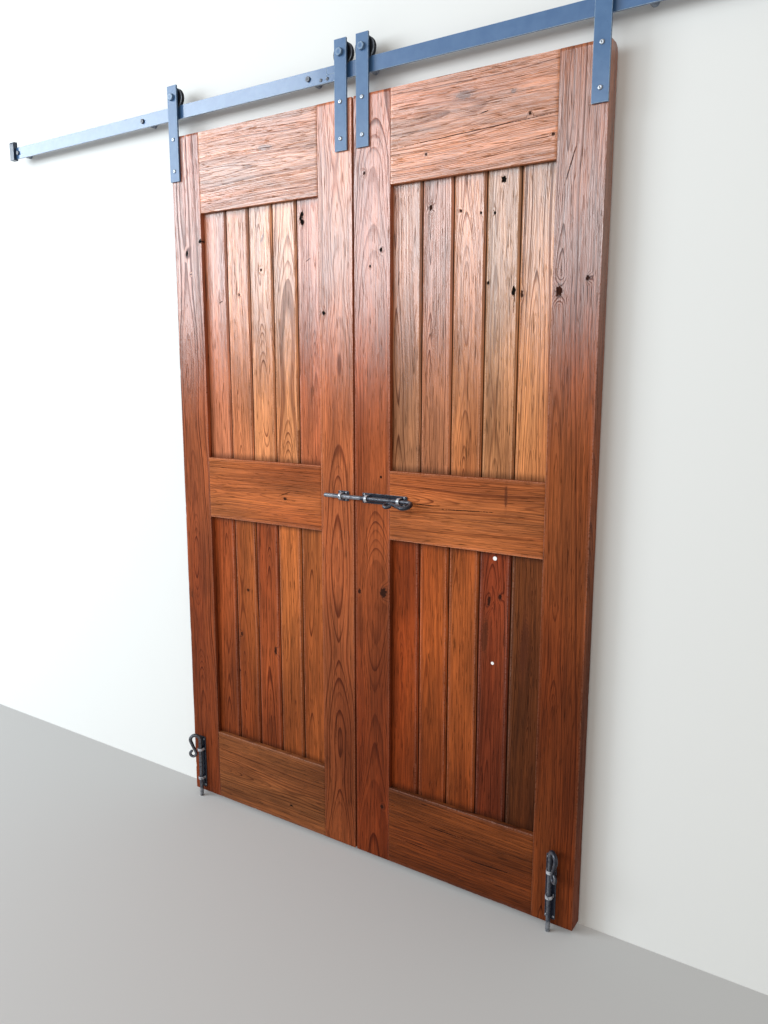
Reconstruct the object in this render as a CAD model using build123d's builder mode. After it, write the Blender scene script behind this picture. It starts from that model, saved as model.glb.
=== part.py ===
from build123d import *
from math import cos, radians, sin
import os

# A pair of sliding barn doors on a flat wall rail, in millimetres. X runs along the wall, +Y into
# it and +Z up. The origin is on the wall's face, behind the rail's middle line, where the leaves meet.

# The two leaves
LEAF_WIDTH = 667
LEAF_HEIGHT = 2100
LEAF_THICKNESS = 48
MEETING_GAP = 6
FLOOR_GAP = 15
STILE_WIDTH = 113
END_RAIL_WIDTH = 228
MID_RAIL_WIDTH = 188
MID_RAIL_HEIGHT = 955
ARRIS = 2
WORN_CORNER = 20
WORN_LEAF = "right"

# Boards, grooves and tenons
BOARD_COUNT = 5
BOARD_THICKNESS = 18
BOARD_RECESS = 15
BOARD_TRIM = 4
SEAM_GAP = 0.4
SEAM_BEVEL = 2.5
TONGUE_THICKNESS = 6
TONGUE_LENGTH = 8
FRAME_GROOVE_DEPTH = 12
WOOD_PLAY = 0.2
BOARD_END_PLAY = 1
TENON_LENGTH = 60
TENON_SHOULDER = 34
FILLED_BOARD = 4
LOW_FILLING_RISE = 432.5
LOW_FILLING_RADIUS = 4.6
HIGH_FILLING_DROP = 16.5
HIGH_FILLING_RADIUS = 6
FILLING_PROUD = 1.2
FILLING_ROUND = 0.8

# The rail on its spacers
RAIL_LENGTH = 2970
RAIL_HEIGHT = 38
RAIL_THICKNESS = 6
SPACER_LENGTH = 44
SPACER_RADIUS = 9.5
WALL_SCREW_RADIUS = 4
WALL_SCREW_THREAD_RADIUS = 3.5
WALL_SCREW_EMBEDMENT = 50
WALL_SCREW_POINT = 3
WALL_SCREW_HEAD_FLATS = 13
WALL_SCREW_HEAD = 5
SCREW_PLAY = 0.2
RAIL_END_TO_FIXING = 37
LEFT_INNER_FIXING = 148
RIGHT_INNER_FIXING = 36
FIXINGS_PER_RAIL = 3

# The half-lap where the rail's two bars meet, with a plate behind it
LAP_LEFT = -88
LAP_LENGTH = 28
LAP_GAP = 0.2
SPLICE_HEIGHT = 16
SPLICE_THICKNESS = 5
SPLICE_END = 12
SPLICE_RISE = 1
SPLICE_SCREW_OFFSETS = (-46, -25, 13, 34)
JOINT_SCREW_RADIUS = 3
JOINT_SCREW_HEAD_RADIUS = 4.5
JOINT_SCREW_HEAD = 2.5
JOINT_SCREW_LENGTH = 12

# End stops, which clasp the rail
STOP_WIDTH = 22
STOP_PROUD = 11
STOP_ABOVE_RAIL = 19
STOP_BELOW_RAIL = 5
STOP_FROM_END = 4
STOP_ROUND = 8
STOP_PLAY = 0.1

# Hanger straps, axle bolts and wheels
HANG_GAP = 51
STRAP_WIDTH = 38
STRAP_THICKNESS = 6
STRAP_LAP = 128
STRAP_HEAD = 33
STRAP_EDGE = 1
STRAP_TO_RAIL = 8
OUTER_STRAP_INSET = 18
INNER_STRAP_INSET = 31
STRAP_SCREW_DROPS = (8, 98)
STRAP_SCREW_RADIUS = 3
STRAP_SCREW_HEAD_RADIUS = 5.5
STRAP_SCREW_HEAD = 3
STRAP_SCREW_LENGTH = 42
SOCKET_RADIUS = 2.2
SOCKET_DEPTH = 1.8
TREAD_RADIUS = 20.7
ROLL_GAP = 0.3
FLANGE_RADIUS = 30
FLANGE_THICKNESS = 2.2
FLANGE_BEVEL = 0.7
WHEEL_GROOVE_PLAY = 0.5
HUB_RADIUS = 9
HUB_END_GAP = 0.4
REAR_HUB_LENGTH = 2
WHEEL_RIM = 4
WHEEL_FACE_RECESS = 1
AXLE_RADIUS = 5
AXLE_CLEARANCE = 0.06
AXLE_HEAD_FLATS = 18
AXLE_HEAD = 8
NUT_FLATS = 17
NUT_HEIGHT = 8
AXLE_BEYOND_NUT = 2
HEX_CHAMFER = 0.8
HEAD_ROUNDING = 0.45

# Bolts with a crooked handle, on their plates
ROD_RADIUS = 5
ROD_TIP_CHAMFER = 1.5
PLATE_THICKNESS = 3
PLATE_WIDTH = 28
PLATE_CORNER = 3
ROD_STANDOFF = 10
GUIDE_CLEARANCE = 0.08
STAPLE_THICKNESS = 3
STAPLE_WIDTH = 8
PLATE_SCREW_RADIUS = 2
PLATE_SCREW_HEAD_RADIUS = 3.4
PLATE_SCREW_HEAD = 2
PLATE_SCREW_LENGTH = 16
PLATE_SCREW_INSET = 8
PLATE_SCREW_EDGE = 4.5
CROOK_RADIUS = 16
CROOK_LEAN = 22
ARM_LENGTH = 42
EYE_RADIUS = 11
EYE_SWEEP = 305
TAIL_RADIUS = 3.8

# Drop bolts, measured from the leaf's foot and from the meeting line
DROP_PLATE_FOOT = 15
DROP_PLATE_LENGTH = 180
DROP_BOLTS = {
    "left": {"inset": 38, "staples": (50, 152), "top": 202, "turn": 35},
    "right": {"inset": 60, "staples": (82, 152), "top": 213, "turn": 45},
}

# The centre bolt across the meeting stiles
BOLT_HEIGHT = 1064
BOLT_PLATE_START = 26
BOLT_PLATE_LENGTH = 144
BOLT_STAPLE_INSET = 20
BOLT_ROD_OVERHANG = 24
BOLT_TIP_PAST_KEEPER = 57
BOLT_DROOP = 21
KEEPER_PLATE_LENGTH = 36
KEEPER_PLATE_START = 14
KEEPER_STAPLE_INSET = 20

# Places worked out from the sizes above, from the wall outwards
RAIL_BACK = -SPACER_LENGTH
RAIL_FRONT = RAIL_BACK - RAIL_THICKNESS
LEAF_FRONT = RAIL_FRONT - STRAP_TO_RAIL
LEAF_BACK = LEAF_FRONT + LEAF_THICKNESS
LEAF_MIDDLE = LEAF_FRONT + LEAF_THICKNESS / 2
STRAP_FRONT = LEAF_FRONT - STRAP_THICKNESS
PLATE_FRONT = LEAF_FRONT - PLATE_THICKNESS
ROD_AXIS = PLATE_FRONT - ROD_STANDOFF
BOARD_MIDDLE = LEAF_FRONT + BOARD_RECESS + BOARD_THICKNESS / 2
LEAF_TOP = -RAIL_HEIGHT / 2 - HANG_GAP
LEAF_FOOT = LEAF_TOP - LEAF_HEIGHT
AXLE_Z = RAIL_HEIGHT / 2 + TREAD_RADIUS + ROLL_GAP
STRAP_TOP = AXLE_Z + STRAP_HEAD
STRAP_FOOT = LEAF_TOP - STRAP_LAP

# Distances out from the wall to the faces of a wheel and of the nut behind it
HUB_FRONT = -LEAF_FRONT - HUB_END_GAP
GROOVE_FRONT = -RAIL_FRONT + WHEEL_GROOVE_PLAY
GROOVE_REAR = -RAIL_BACK - WHEEL_GROOVE_PLAY
WHEEL_FRONT = GROOVE_FRONT + FLANGE_THICKNESS
WHEEL_REAR = GROOVE_REAR - FLANGE_THICKNESS
HUB_REAR = WHEEL_REAR - REAR_HUB_LENGTH
NUT_FRONT = HUB_REAR - HUB_END_GAP
NUT_REAR = NUT_FRONT - NUT_HEIGHT

# Places along the leaf, measured outwards from the meeting line
MEETING_EDGE = MEETING_GAP / 2
OUTER_EDGE = MEETING_EDGE + LEAF_WIDTH
OPENING_START = MEETING_EDGE + STILE_WIDTH
OPENING_WIDTH = LEAF_WIDTH - 2 * STILE_WIDTH
OPENING_END = OPENING_START + OPENING_WIDTH
LEAF_CENTRE = MEETING_EDGE + LEAF_WIDTH / 2
STRAP_PLACES = {"outer": OUTER_EDGE - OUTER_STRAP_INSET, "inner": MEETING_EDGE + INNER_STRAP_INSET}

# Rails of a leaf: lower edge, width, and whether a panel meets the lower and the upper edge
LEAF_RAILS = {
    "bottom_rail": (LEAF_FOOT, END_RAIL_WIDTH, False, True),
    "mid_rail": (LEAF_FOOT + MID_RAIL_HEIGHT, MID_RAIL_WIDTH, True, True),
    "top_rail": (LEAF_TOP - END_RAIL_WIDTH, END_RAIL_WIDTH, True, False),
}
PANELS = {
    "lower": (LEAF_FOOT + END_RAIL_WIDTH, LEAF_FOOT + MID_RAIL_HEIGHT),
    "upper": (LEAF_FOOT + MID_RAIL_HEIGHT + MID_RAIL_WIDTH, LEAF_TOP - END_RAIL_WIDTH),
}
BOARD_COVER = (OPENING_WIDTH + BOARD_TRIM) / BOARD_COUNT
BOARD_REACH = FRAME_GROOVE_DEPTH - BOARD_END_PLAY
GROOVE_WIDTH = BOARD_THICKNESS + 2 * WOOD_PLAY
BOLT_Z = LEAF_FOOT + BOLT_HEIGHT

# Fixing places along each bar of the rail, evenly spaced from its end to the one nearest the middle
FIXING_END = RAIL_LENGTH / 2 - RAIL_END_TO_FIXING
LEFT_FIXING_PITCH = (FIXING_END - LEFT_INNER_FIXING) / (FIXINGS_PER_RAIL - 1)
RIGHT_FIXING_PITCH = (FIXING_END - RIGHT_INNER_FIXING) / (FIXINGS_PER_RAIL - 1)
LEFT_FIXINGS = [-FIXING_END + LEFT_FIXING_PITCH * n for n in range(FIXINGS_PER_RAIL)]
RIGHT_FIXINGS = [FIXING_END - RIGHT_FIXING_PITCH * n for n in range(FIXINGS_PER_RAIL)]
LAP_RIGHT = LAP_LEFT + LAP_LENGTH
SPLICE_SCREWS = [LAP_RIGHT + offset for offset in SPLICE_SCREW_OFFSETS]
SPLICE_Z = -(RAIL_HEIGHT - SPLICE_HEIGHT) / 2 + SPLICE_RISE
STOP_CENTRE = RAIL_LENGTH / 2 - STOP_FROM_END - STOP_WIDTH / 2

SIDES = {"left": -1, "right": 1}

os.makedirs("parts", exist_ok=True)


def save(piece, name):
    """Label a finished piece and write it under its own name."""
    piece.part.label = name
    export_step(piece.part, f"parts/{name}.step")


def facing(y):
    """The plane across the wall's depth at y: its x is X, its y is Z, and its normal points outwards."""
    return Plane.XZ.offset(-y)


def hex_bolts(places, seat, flats, head, radius, length):
    """Bolts with hexagonal heads on a plane across the wall's depth, their shanks running inwards."""
    with BuildPart() as group:
        with BuildSketch(facing(seat)):
            with Locations(*places):
                RegularPolygon(radius=flats / 2, side_count=6, major_radius=False)
        extrude(amount=head)
        chamfer(group.faces().group_by(Axis.Y)[0].edges(), HEX_CHAMFER)
        with BuildSketch(facing(seat)):
            with Locations(*places):
                Circle(radius)
        extrude(amount=-length)
    return group


def screws(places, seat, head_radius, head, radius, length, outwards=1, socket_radius=0):
    """Round-headed screws on a plane across the wall's depth, with the heads outwards (1) or inwards (-1)."""
    with BuildPart() as group:
        with BuildSketch(facing(seat)):
            with Locations(*places):
                Circle(head_radius)
        extrude(amount=outwards * head)
        fronts = group.faces().group_by(Axis.Y)[0 if outwards > 0 else -1]
        fillet(fronts.edges(), head * HEAD_ROUNDING)
        with BuildSketch(facing(seat)):
            with Locations(*places):
                Circle(radius)
        extrude(amount=-outwards * length)
        if socket_radius:
            with BuildSketch(facing(seat - head)):
                with Locations(*places):
                    RegularPolygon(radius=socket_radius, side_count=6)
            extrude(amount=-SOCKET_DEPTH, mode=Mode.SUBTRACT)
    return group


def seam(panel_left, number):
    """Where the seam after a panel's numbered board lies, the left-hand board being the narrow one."""
    return panel_left - BOARD_TRIM + BOARD_COVER * number


def plate_screw_places(start, along, length):
    """The four screws of a bolt plate, given where it starts and which way it runs on the leaf."""
    reach = PLATE_WIDTH / 2 - PLATE_SCREW_EDGE
    return [
        (start[0] + along[0] * run - along[1] * across, start[1] + along[1] * run + along[0] * across)
        for run in (PLATE_SCREW_INSET, length - PLATE_SCREW_INSET)
        for across in (-reach, reach)
    ]


def bolt_plate(start, along, length, staples):
    """A plate on the leaf's front with the staples that guide a rod, at distances from the plate's start."""
    origin = Vector(start[0], LEAF_FRONT, start[1])
    seat = Plane(origin=origin, x_dir=(along[0], 0, along[1]), z_dir=(0, -1, 0))
    reach = PLATE_WIDTH / 2 - PLATE_SCREW_EDGE
    bore = ROD_RADIUS + GUIDE_CLEARANCE
    outside = bore + STAPLE_THICKNESS
    with BuildPart() as plate:
        with BuildSketch(seat):
            with Locations((length / 2, 0)):
                RectangleRounded(length, PLATE_WIDTH, PLATE_CORNER)
                with GridLocations(length - 2 * PLATE_SCREW_INSET, 2 * reach, 2, 2):
                    Circle(PLATE_SCREW_RADIUS + SCREW_PLAY / 2, mode=Mode.SUBTRACT)
        extrude(amount=PLATE_THICKNESS)
        for run in staples:
            foot = seat.from_local_coords(Vector(run, 0, PLATE_THICKNESS))
            with BuildSketch(Plane(origin=foot, x_dir=seat.y_dir, z_dir=seat.x_dir)):
                for radius, mode in ((outside, Mode.ADD), (bore, Mode.SUBTRACT)):
                    with Locations((0, ROD_STANDOFF)):
                        Circle(radius, mode=mode)
                    with Locations((0, ROD_STANDOFF / 2)):
                        Rectangle(2 * radius, ROD_STANDOFF, mode=mode)
            extrude(amount=STAPLE_WIDTH / 2, both=True)
    return plate


def bolt_rod(crook_top, rod_direction, crook_direction, length):
    """A round rod bent over at one end into a crook, whose tapered arm leans back and curls into an eye."""
    rod_direction, crook_direction = Vector(rod_direction), Vector(crook_direction)
    frame = Plane(origin=crook_top, x_dir=crook_direction, z_dir=crook_direction.cross(rod_direction))
    with BuildPart() as rod:
        with BuildLine(frame):
            shaft = Line((0, -length), (0, -CROOK_RADIUS))
            bend = JernArc(shaft @ 1, shaft % 1, CROOK_RADIUS, -(180 + CROOK_LEAN))
        with BuildSketch(Plane(origin=shaft @ 0, z_dir=shaft % 0)):
            Circle(ROD_RADIUS)
        sweep()
        rims = rod.edges().filter_by(GeomType.CIRCLE).sort_by_distance(shaft @ 0)
        chamfer(rims[0], ROD_TIP_CHAMFER)
        arm_end = (bend @ 1) + (bend % 1) * ARM_LENGTH
        with BuildSketch(Plane(origin=bend @ 1, z_dir=bend % 1)):
            Circle(ROD_RADIUS)
        with BuildSketch(Plane(origin=arm_end, z_dir=bend % 1)):
            Circle(TAIL_RADIUS)
        loft()
        with BuildLine(frame):
            eye = JernArc(arm_end, bend % 1, EYE_RADIUS, EYE_SWEEP)
        with BuildSketch(Plane(origin=arm_end, z_dir=bend % 1)):
            Circle(TAIL_RADIUS)
        sweep()
        with Locations(eye @ 1):
            Sphere(TAIL_RADIUS)
    return rod


def rail_bar(outline, fixings, small_holes):
    """One bar of the rail, drilled for its wall screws and its small screws."""
    with BuildPart() as bar:
        with BuildSketch(facing(RAIL_FRONT)):
            with BuildLine():
                Polyline(*outline, close=True)
            make_face()
            with Locations(*[(x, 0) for x in fixings]):
                Circle(WALL_SCREW_RADIUS + SCREW_PLAY, mode=Mode.SUBTRACT)
            with Locations(*small_holes):
                Circle(JOINT_SCREW_RADIUS + SCREW_PLAY / 2, mode=Mode.SUBTRACT)
        extrude(amount=-RAIL_THICKNESS)
    return bar


def end_stop_blocks():
    """Blocks that clasp the rail's ends from the front, standing up in the path of the wheels."""
    front, back = RAIL_FRONT - STOP_PROUD, RAIL_BACK
    low, high = -RAIL_HEIGHT / 2 - STOP_BELOW_RAIL, RAIL_HEIGHT / 2 + STOP_ABOVE_RAIL
    slot_front = RAIL_FRONT - STOP_PLAY
    with BuildPart() as stops:
        for place in (-STOP_CENTRE, STOP_CENTRE):
            with BuildSketch(Plane.YZ.offset(place)) as profile:
                with Locations(((front + back) / 2, (low + high) / 2)):
                    Rectangle(back - front, high - low)
                fillet(profile.vertices().group_by(Axis.Y)[-1].sort_by(Axis.X)[-1], STOP_ROUND)
                with Locations((slot_front + (back - front) / 2, 0)):
                    Rectangle(back - front, RAIL_HEIGHT + 2 * STOP_PLAY, mode=Mode.SUBTRACT)
            extrude(amount=STOP_WIDTH / 2, both=True)
        with BuildSketch(facing(slot_front)):
            with Locations((-STOP_CENTRE, 0), (STOP_CENTRE, 0)):
                Circle(JOINT_SCREW_RADIUS + SCREW_PLAY / 2)
        extrude(amount=JOINT_SCREW_LENGTH - RAIL_THICKNESS + SCREW_PLAY, mode=Mode.SUBTRACT)
    return stops


def wheel(x):
    """A grooved wheel: two flanges that lap the rail, its hub turned longer to meet the strap."""
    bore = AXLE_RADIUS + AXLE_CLEARANCE
    section = Plane(origin=(x, 0, AXLE_Z), x_dir=(0, 0, 1), z_dir=(1, 0, 0))
    recess_outside = FLANGE_RADIUS - WHEEL_RIM
    with BuildPart() as disc:
        with BuildSketch(section):
            with BuildLine():
                Polyline(
                    (bore, HUB_REAR),
                    (HUB_RADIUS, HUB_REAR),
                    (HUB_RADIUS, WHEEL_REAR),
                    (FLANGE_RADIUS - FLANGE_BEVEL, WHEEL_REAR),
                    (FLANGE_RADIUS, WHEEL_REAR + FLANGE_BEVEL),
                    (FLANGE_RADIUS, GROOVE_REAR - FLANGE_BEVEL),
                    (TREAD_RADIUS, GROOVE_REAR),
                    (TREAD_RADIUS, GROOVE_FRONT),
                    (FLANGE_RADIUS, GROOVE_FRONT + FLANGE_BEVEL),
                    (FLANGE_RADIUS, WHEEL_FRONT - FLANGE_BEVEL),
                    (FLANGE_RADIUS - FLANGE_BEVEL, WHEEL_FRONT),
                    (recess_outside, WHEEL_FRONT),
                    (recess_outside - WHEEL_FACE_RECESS, WHEEL_FRONT - WHEEL_FACE_RECESS),
                    (HUB_RADIUS, WHEEL_FRONT - WHEEL_FACE_RECESS),
                    (HUB_RADIUS, HUB_FRONT),
                    (bore, HUB_FRONT),
                    close=True,
                )
            make_face()
        revolve(axis=Axis((x, 0, AXLE_Z), (0, 1, 0)))
    return disc


def strap(x):
    """A flat hanger strap, drilled for its axle bolt and its two screws."""
    with BuildPart() as bar:
        with BuildSketch(facing(LEAF_FRONT)):
            with Locations((x, (STRAP_TOP + STRAP_FOOT) / 2)):
                Rectangle(STRAP_WIDTH, STRAP_TOP - STRAP_FOOT)
            with Locations((x, AXLE_Z)):
                Circle(AXLE_RADIUS + SCREW_PLAY / 2, mode=Mode.SUBTRACT)
            with Locations(*[(x, LEAF_TOP - drop) for drop in STRAP_SCREW_DROPS]):
                Circle(STRAP_SCREW_RADIUS + SCREW_PLAY / 2, mode=Mode.SUBTRACT)
        extrude(amount=STRAP_THICKNESS)
        chamfer(bar.faces().sort_by(Axis.Y)[0].outer_wire().edges(), STRAP_EDGE)
    return bar


def pilot_holes(strap_screws, plate_screws):
    """The holes that a leaf's screws take up in its wood, to be cut from each piece that they meet."""
    with BuildPart() as holes:
        for places, radius, length, seat in (
            (strap_screws, STRAP_SCREW_RADIUS, STRAP_SCREW_LENGTH, STRAP_FRONT),
            (plate_screws, PLATE_SCREW_RADIUS, PLATE_SCREW_LENGTH, PLATE_FRONT),
        ):
            with BuildSketch(facing(seat)):
                with Locations(*places):
                    Circle(radius + SCREW_PLAY / 2)
            extrude(amount=-length - WOOD_PLAY)
    return holes


def stile(side, start, panel_edge, holes, worn):
    """An upright of a leaf, grooved for the boards and mortised for the three rails."""
    middle = side * (start + STILE_WIDTH / 2)
    with BuildPart() as post:
        with BuildSketch(Plane.XY.offset(LEAF_FOOT)) as section:
            with Locations((middle, LEAF_MIDDLE)):
                Rectangle(STILE_WIDTH, LEAF_THICKNESS)
            chamfer(section.vertices(), ARRIS)
            with Locations((side * panel_edge, BOARD_MIDDLE)):
                Rectangle(2 * FRAME_GROOVE_DEPTH, GROOVE_WIDTH, mode=Mode.SUBTRACT)
        extrude(amount=LEAF_HEIGHT)
        for low, width, _, _ in LEAF_RAILS.values():
            with Locations((side * panel_edge, BOARD_MIDDLE, low + width / 2)):
                Box(
                    2 * (TENON_LENGTH + WOOD_PLAY),
                    GROOVE_WIDTH,
                    width - 2 * TENON_SHOULDER + 2 * WOOD_PLAY,
                    mode=Mode.SUBTRACT,
                )
        if worn:
            with BuildSketch(Plane.YZ.offset(middle)):
                with Locations((LEAF_BACK, LEAF_TOP)):
                    Rectangle(WORN_CORNER, WORN_CORNER, align=(Align.MAX, Align.MAX))
                with Locations((LEAF_BACK - WORN_CORNER, LEAF_TOP - WORN_CORNER)):
                    Circle(WORN_CORNER, mode=Mode.SUBTRACT)
            extrude(amount=STILE_WIDTH, both=True, mode=Mode.SUBTRACT)
        add(holes.part, mode=Mode.SUBTRACT)
    return post


def cross_rail(side, low, width, grooved_low, grooved_high, holes):
    """A rail between the stiles, with a haunch that fills their grooves and a tenon at each end."""
    across = Plane.YZ.offset(side * LEAF_CENTRE)
    haunch_low = low + FRAME_GROOVE_DEPTH * grooved_low
    haunch_high = low + width - FRAME_GROOVE_DEPTH * grooved_high
    with BuildPart() as rail:
        with BuildSketch(across) as section:
            with Locations((LEAF_MIDDLE, low + width / 2)):
                Rectangle(LEAF_THICKNESS, width)
            chamfer(section.vertices(), ARRIS)
            for grooved, level in ((grooved_low, low), (grooved_high, low + width)):
                if grooved:
                    with Locations((BOARD_MIDDLE, level)):
                        Rectangle(GROOVE_WIDTH, 2 * FRAME_GROOVE_DEPTH, mode=Mode.SUBTRACT)
        extrude(amount=OPENING_WIDTH / 2, both=True)
        with BuildSketch(across):
            with Locations((BOARD_MIDDLE, (haunch_low + haunch_high) / 2)):
                Rectangle(BOARD_THICKNESS, haunch_high - haunch_low)
        extrude(amount=OPENING_WIDTH / 2 + FRAME_GROOVE_DEPTH - WOOD_PLAY, both=True)
        with BuildSketch(across):
            with Locations((BOARD_MIDDLE, low + width / 2)):
                Rectangle(BOARD_THICKNESS, width - 2 * TENON_SHOULDER)
        extrude(amount=OPENING_WIDTH / 2 + TENON_LENGTH, both=True)
        add(holes.part, mode=Mode.SUBTRACT)
    return rail


def board_fillings(x):
    """The places and radii of the two round fillings on one lower board's middle line."""
    low, high = PANELS["lower"]
    return [
        ((x, low + LOW_FILLING_RISE), LOW_FILLING_RADIUS),
        ((x, high - HIGH_FILLING_DROP), HIGH_FILLING_RADIUS),
    ]


def board(left, right, low, high, joined_left, joined_right, fillings):
    """A panel board, bevelled, tongued and grooved where others meet it, with round fillings on its front."""
    with BuildPart() as plank:
        with BuildSketch(Plane.XY.offset(low)) as section:
            with Locations(((left + right) / 2, BOARD_MIDDLE)):
                Rectangle(right - left, BOARD_THICKNESS)
            sides = section.vertices().group_by(Axis.X)
            if joined_left:
                chamfer(sides[0], SEAM_BEVEL)
                with Locations((left, BOARD_MIDDLE)):
                    Rectangle(2 * TONGUE_LENGTH, TONGUE_THICKNESS + 2 * WOOD_PLAY, mode=Mode.SUBTRACT)
            if joined_right:
                chamfer(sides[-1], SEAM_BEVEL)
                with Locations((right, BOARD_MIDDLE)):
                    Rectangle(2 * TONGUE_LENGTH, TONGUE_THICKNESS)
        extrude(amount=high - low)
        for place, radius in fillings:
            with BuildSketch(facing(LEAF_FRONT + BOARD_RECESS)):
                with Locations(place):
                    Circle(radius)
            extrude(amount=FILLING_PROUD)
        if fillings:
            fillet(plank.faces().group_by(Axis.Y)[0].edges(), FILLING_ROUND)
    return plank


# The rail: two bars halved together over a splice plate, on spacers, with a stop at each end
bar_end = RAIL_LENGTH / 2
bar_edge = RAIL_HEIGHT / 2
lap_face = LAP_GAP / 2
left_outline = [
    (-bar_end, bar_edge),
    (-bar_end, -bar_edge),
    (LAP_RIGHT, -bar_edge),
    (LAP_RIGHT, -lap_face),
    (LAP_LEFT, -lap_face),
    (LAP_LEFT, bar_edge),
]
right_outline = [
    (bar_end, bar_edge),
    (bar_end, -bar_edge),
    (LAP_RIGHT + LAP_GAP, -bar_edge),
    (LAP_RIGHT + LAP_GAP, lap_face),
    (LAP_LEFT + LAP_GAP, lap_face),
    (LAP_LEFT + LAP_GAP, bar_edge),
]
splice_places = [(x, SPLICE_Z) for x in SPLICE_SCREWS]
stop_places = [(-STOP_CENTRE, 0), (STOP_CENTRE, 0)]
save(rail_bar(left_outline, LEFT_FIXINGS, splice_places[:2] + stop_places[:1]), "rail_left")
save(rail_bar(right_outline, RIGHT_FIXINGS, splice_places[2:] + stop_places[1:]), "rail_right")

with BuildPart() as splice_plate:
    with BuildSketch(facing(RAIL_BACK)):
        with Locations(((SPLICE_SCREWS[0] + SPLICE_SCREWS[-1]) / 2, SPLICE_Z)):
            Rectangle(SPLICE_SCREWS[-1] - SPLICE_SCREWS[0] + 2 * SPLICE_END, SPLICE_HEIGHT)
        with Locations(*splice_places):
            Circle(JOINT_SCREW_RADIUS + SCREW_PLAY / 2, mode=Mode.SUBTRACT)
    extrude(amount=-SPLICE_THICKNESS)
save(splice_plate, "splice_plate")

joint_screw = (JOINT_SCREW_HEAD_RADIUS, JOINT_SCREW_HEAD, JOINT_SCREW_RADIUS, JOINT_SCREW_LENGTH)
splice_screws = screws(splice_places, RAIL_FRONT, *joint_screw)
stop_screws = screws(stop_places, RAIL_BACK, *joint_screw, outwards=-1)
with BuildPart() as rail_joint_screws:
    add(splice_screws.part)
    add(stop_screws.part)
save(rail_joint_screws, "rail_joint_screws")

fixing_places = [(x, 0) for x in LEFT_FIXINGS + RIGHT_FIXINGS]
with BuildPart() as wall_spacers:
    with BuildSketch(facing(0)):
        with Locations(*fixing_places):
            Circle(SPACER_RADIUS)
            Circle(WALL_SCREW_RADIUS + SCREW_PLAY, mode=Mode.SUBTRACT)
    extrude(amount=SPACER_LENGTH)
save(wall_spacers, "wall_spacers")

wall_screw = (WALL_SCREW_HEAD_FLATS, WALL_SCREW_HEAD, WALL_SCREW_RADIUS, -RAIL_FRONT)
with BuildPart() as wall_screws:
    add(hex_bolts(fixing_places, RAIL_FRONT, *wall_screw).part)
    with BuildSketch(facing(0)):
        with Locations(*fixing_places):
            Circle(WALL_SCREW_THREAD_RADIUS)
    extrude(amount=-WALL_SCREW_EMBEDMENT)
    chamfer(wall_screws.faces().group_by(Axis.Y)[-1].edges(), WALL_SCREW_POINT)
save(wall_screws, "wall_screws")

save(end_stop_blocks(), "end_stops")

# The leaves, with their straps, wheels and bolts
BOLT_PLATES = {
    "left": ("keeper_plate", KEEPER_PLATE_START, KEEPER_PLATE_LENGTH, (KEEPER_STAPLE_INSET,)),
    "right": (
        "centre_bolt_plate",
        BOLT_PLATE_START,
        BOLT_PLATE_LENGTH,
        (BOLT_STAPLE_INSET, BOLT_PLATE_LENGTH - BOLT_STAPLE_INSET),
    ),
}

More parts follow.
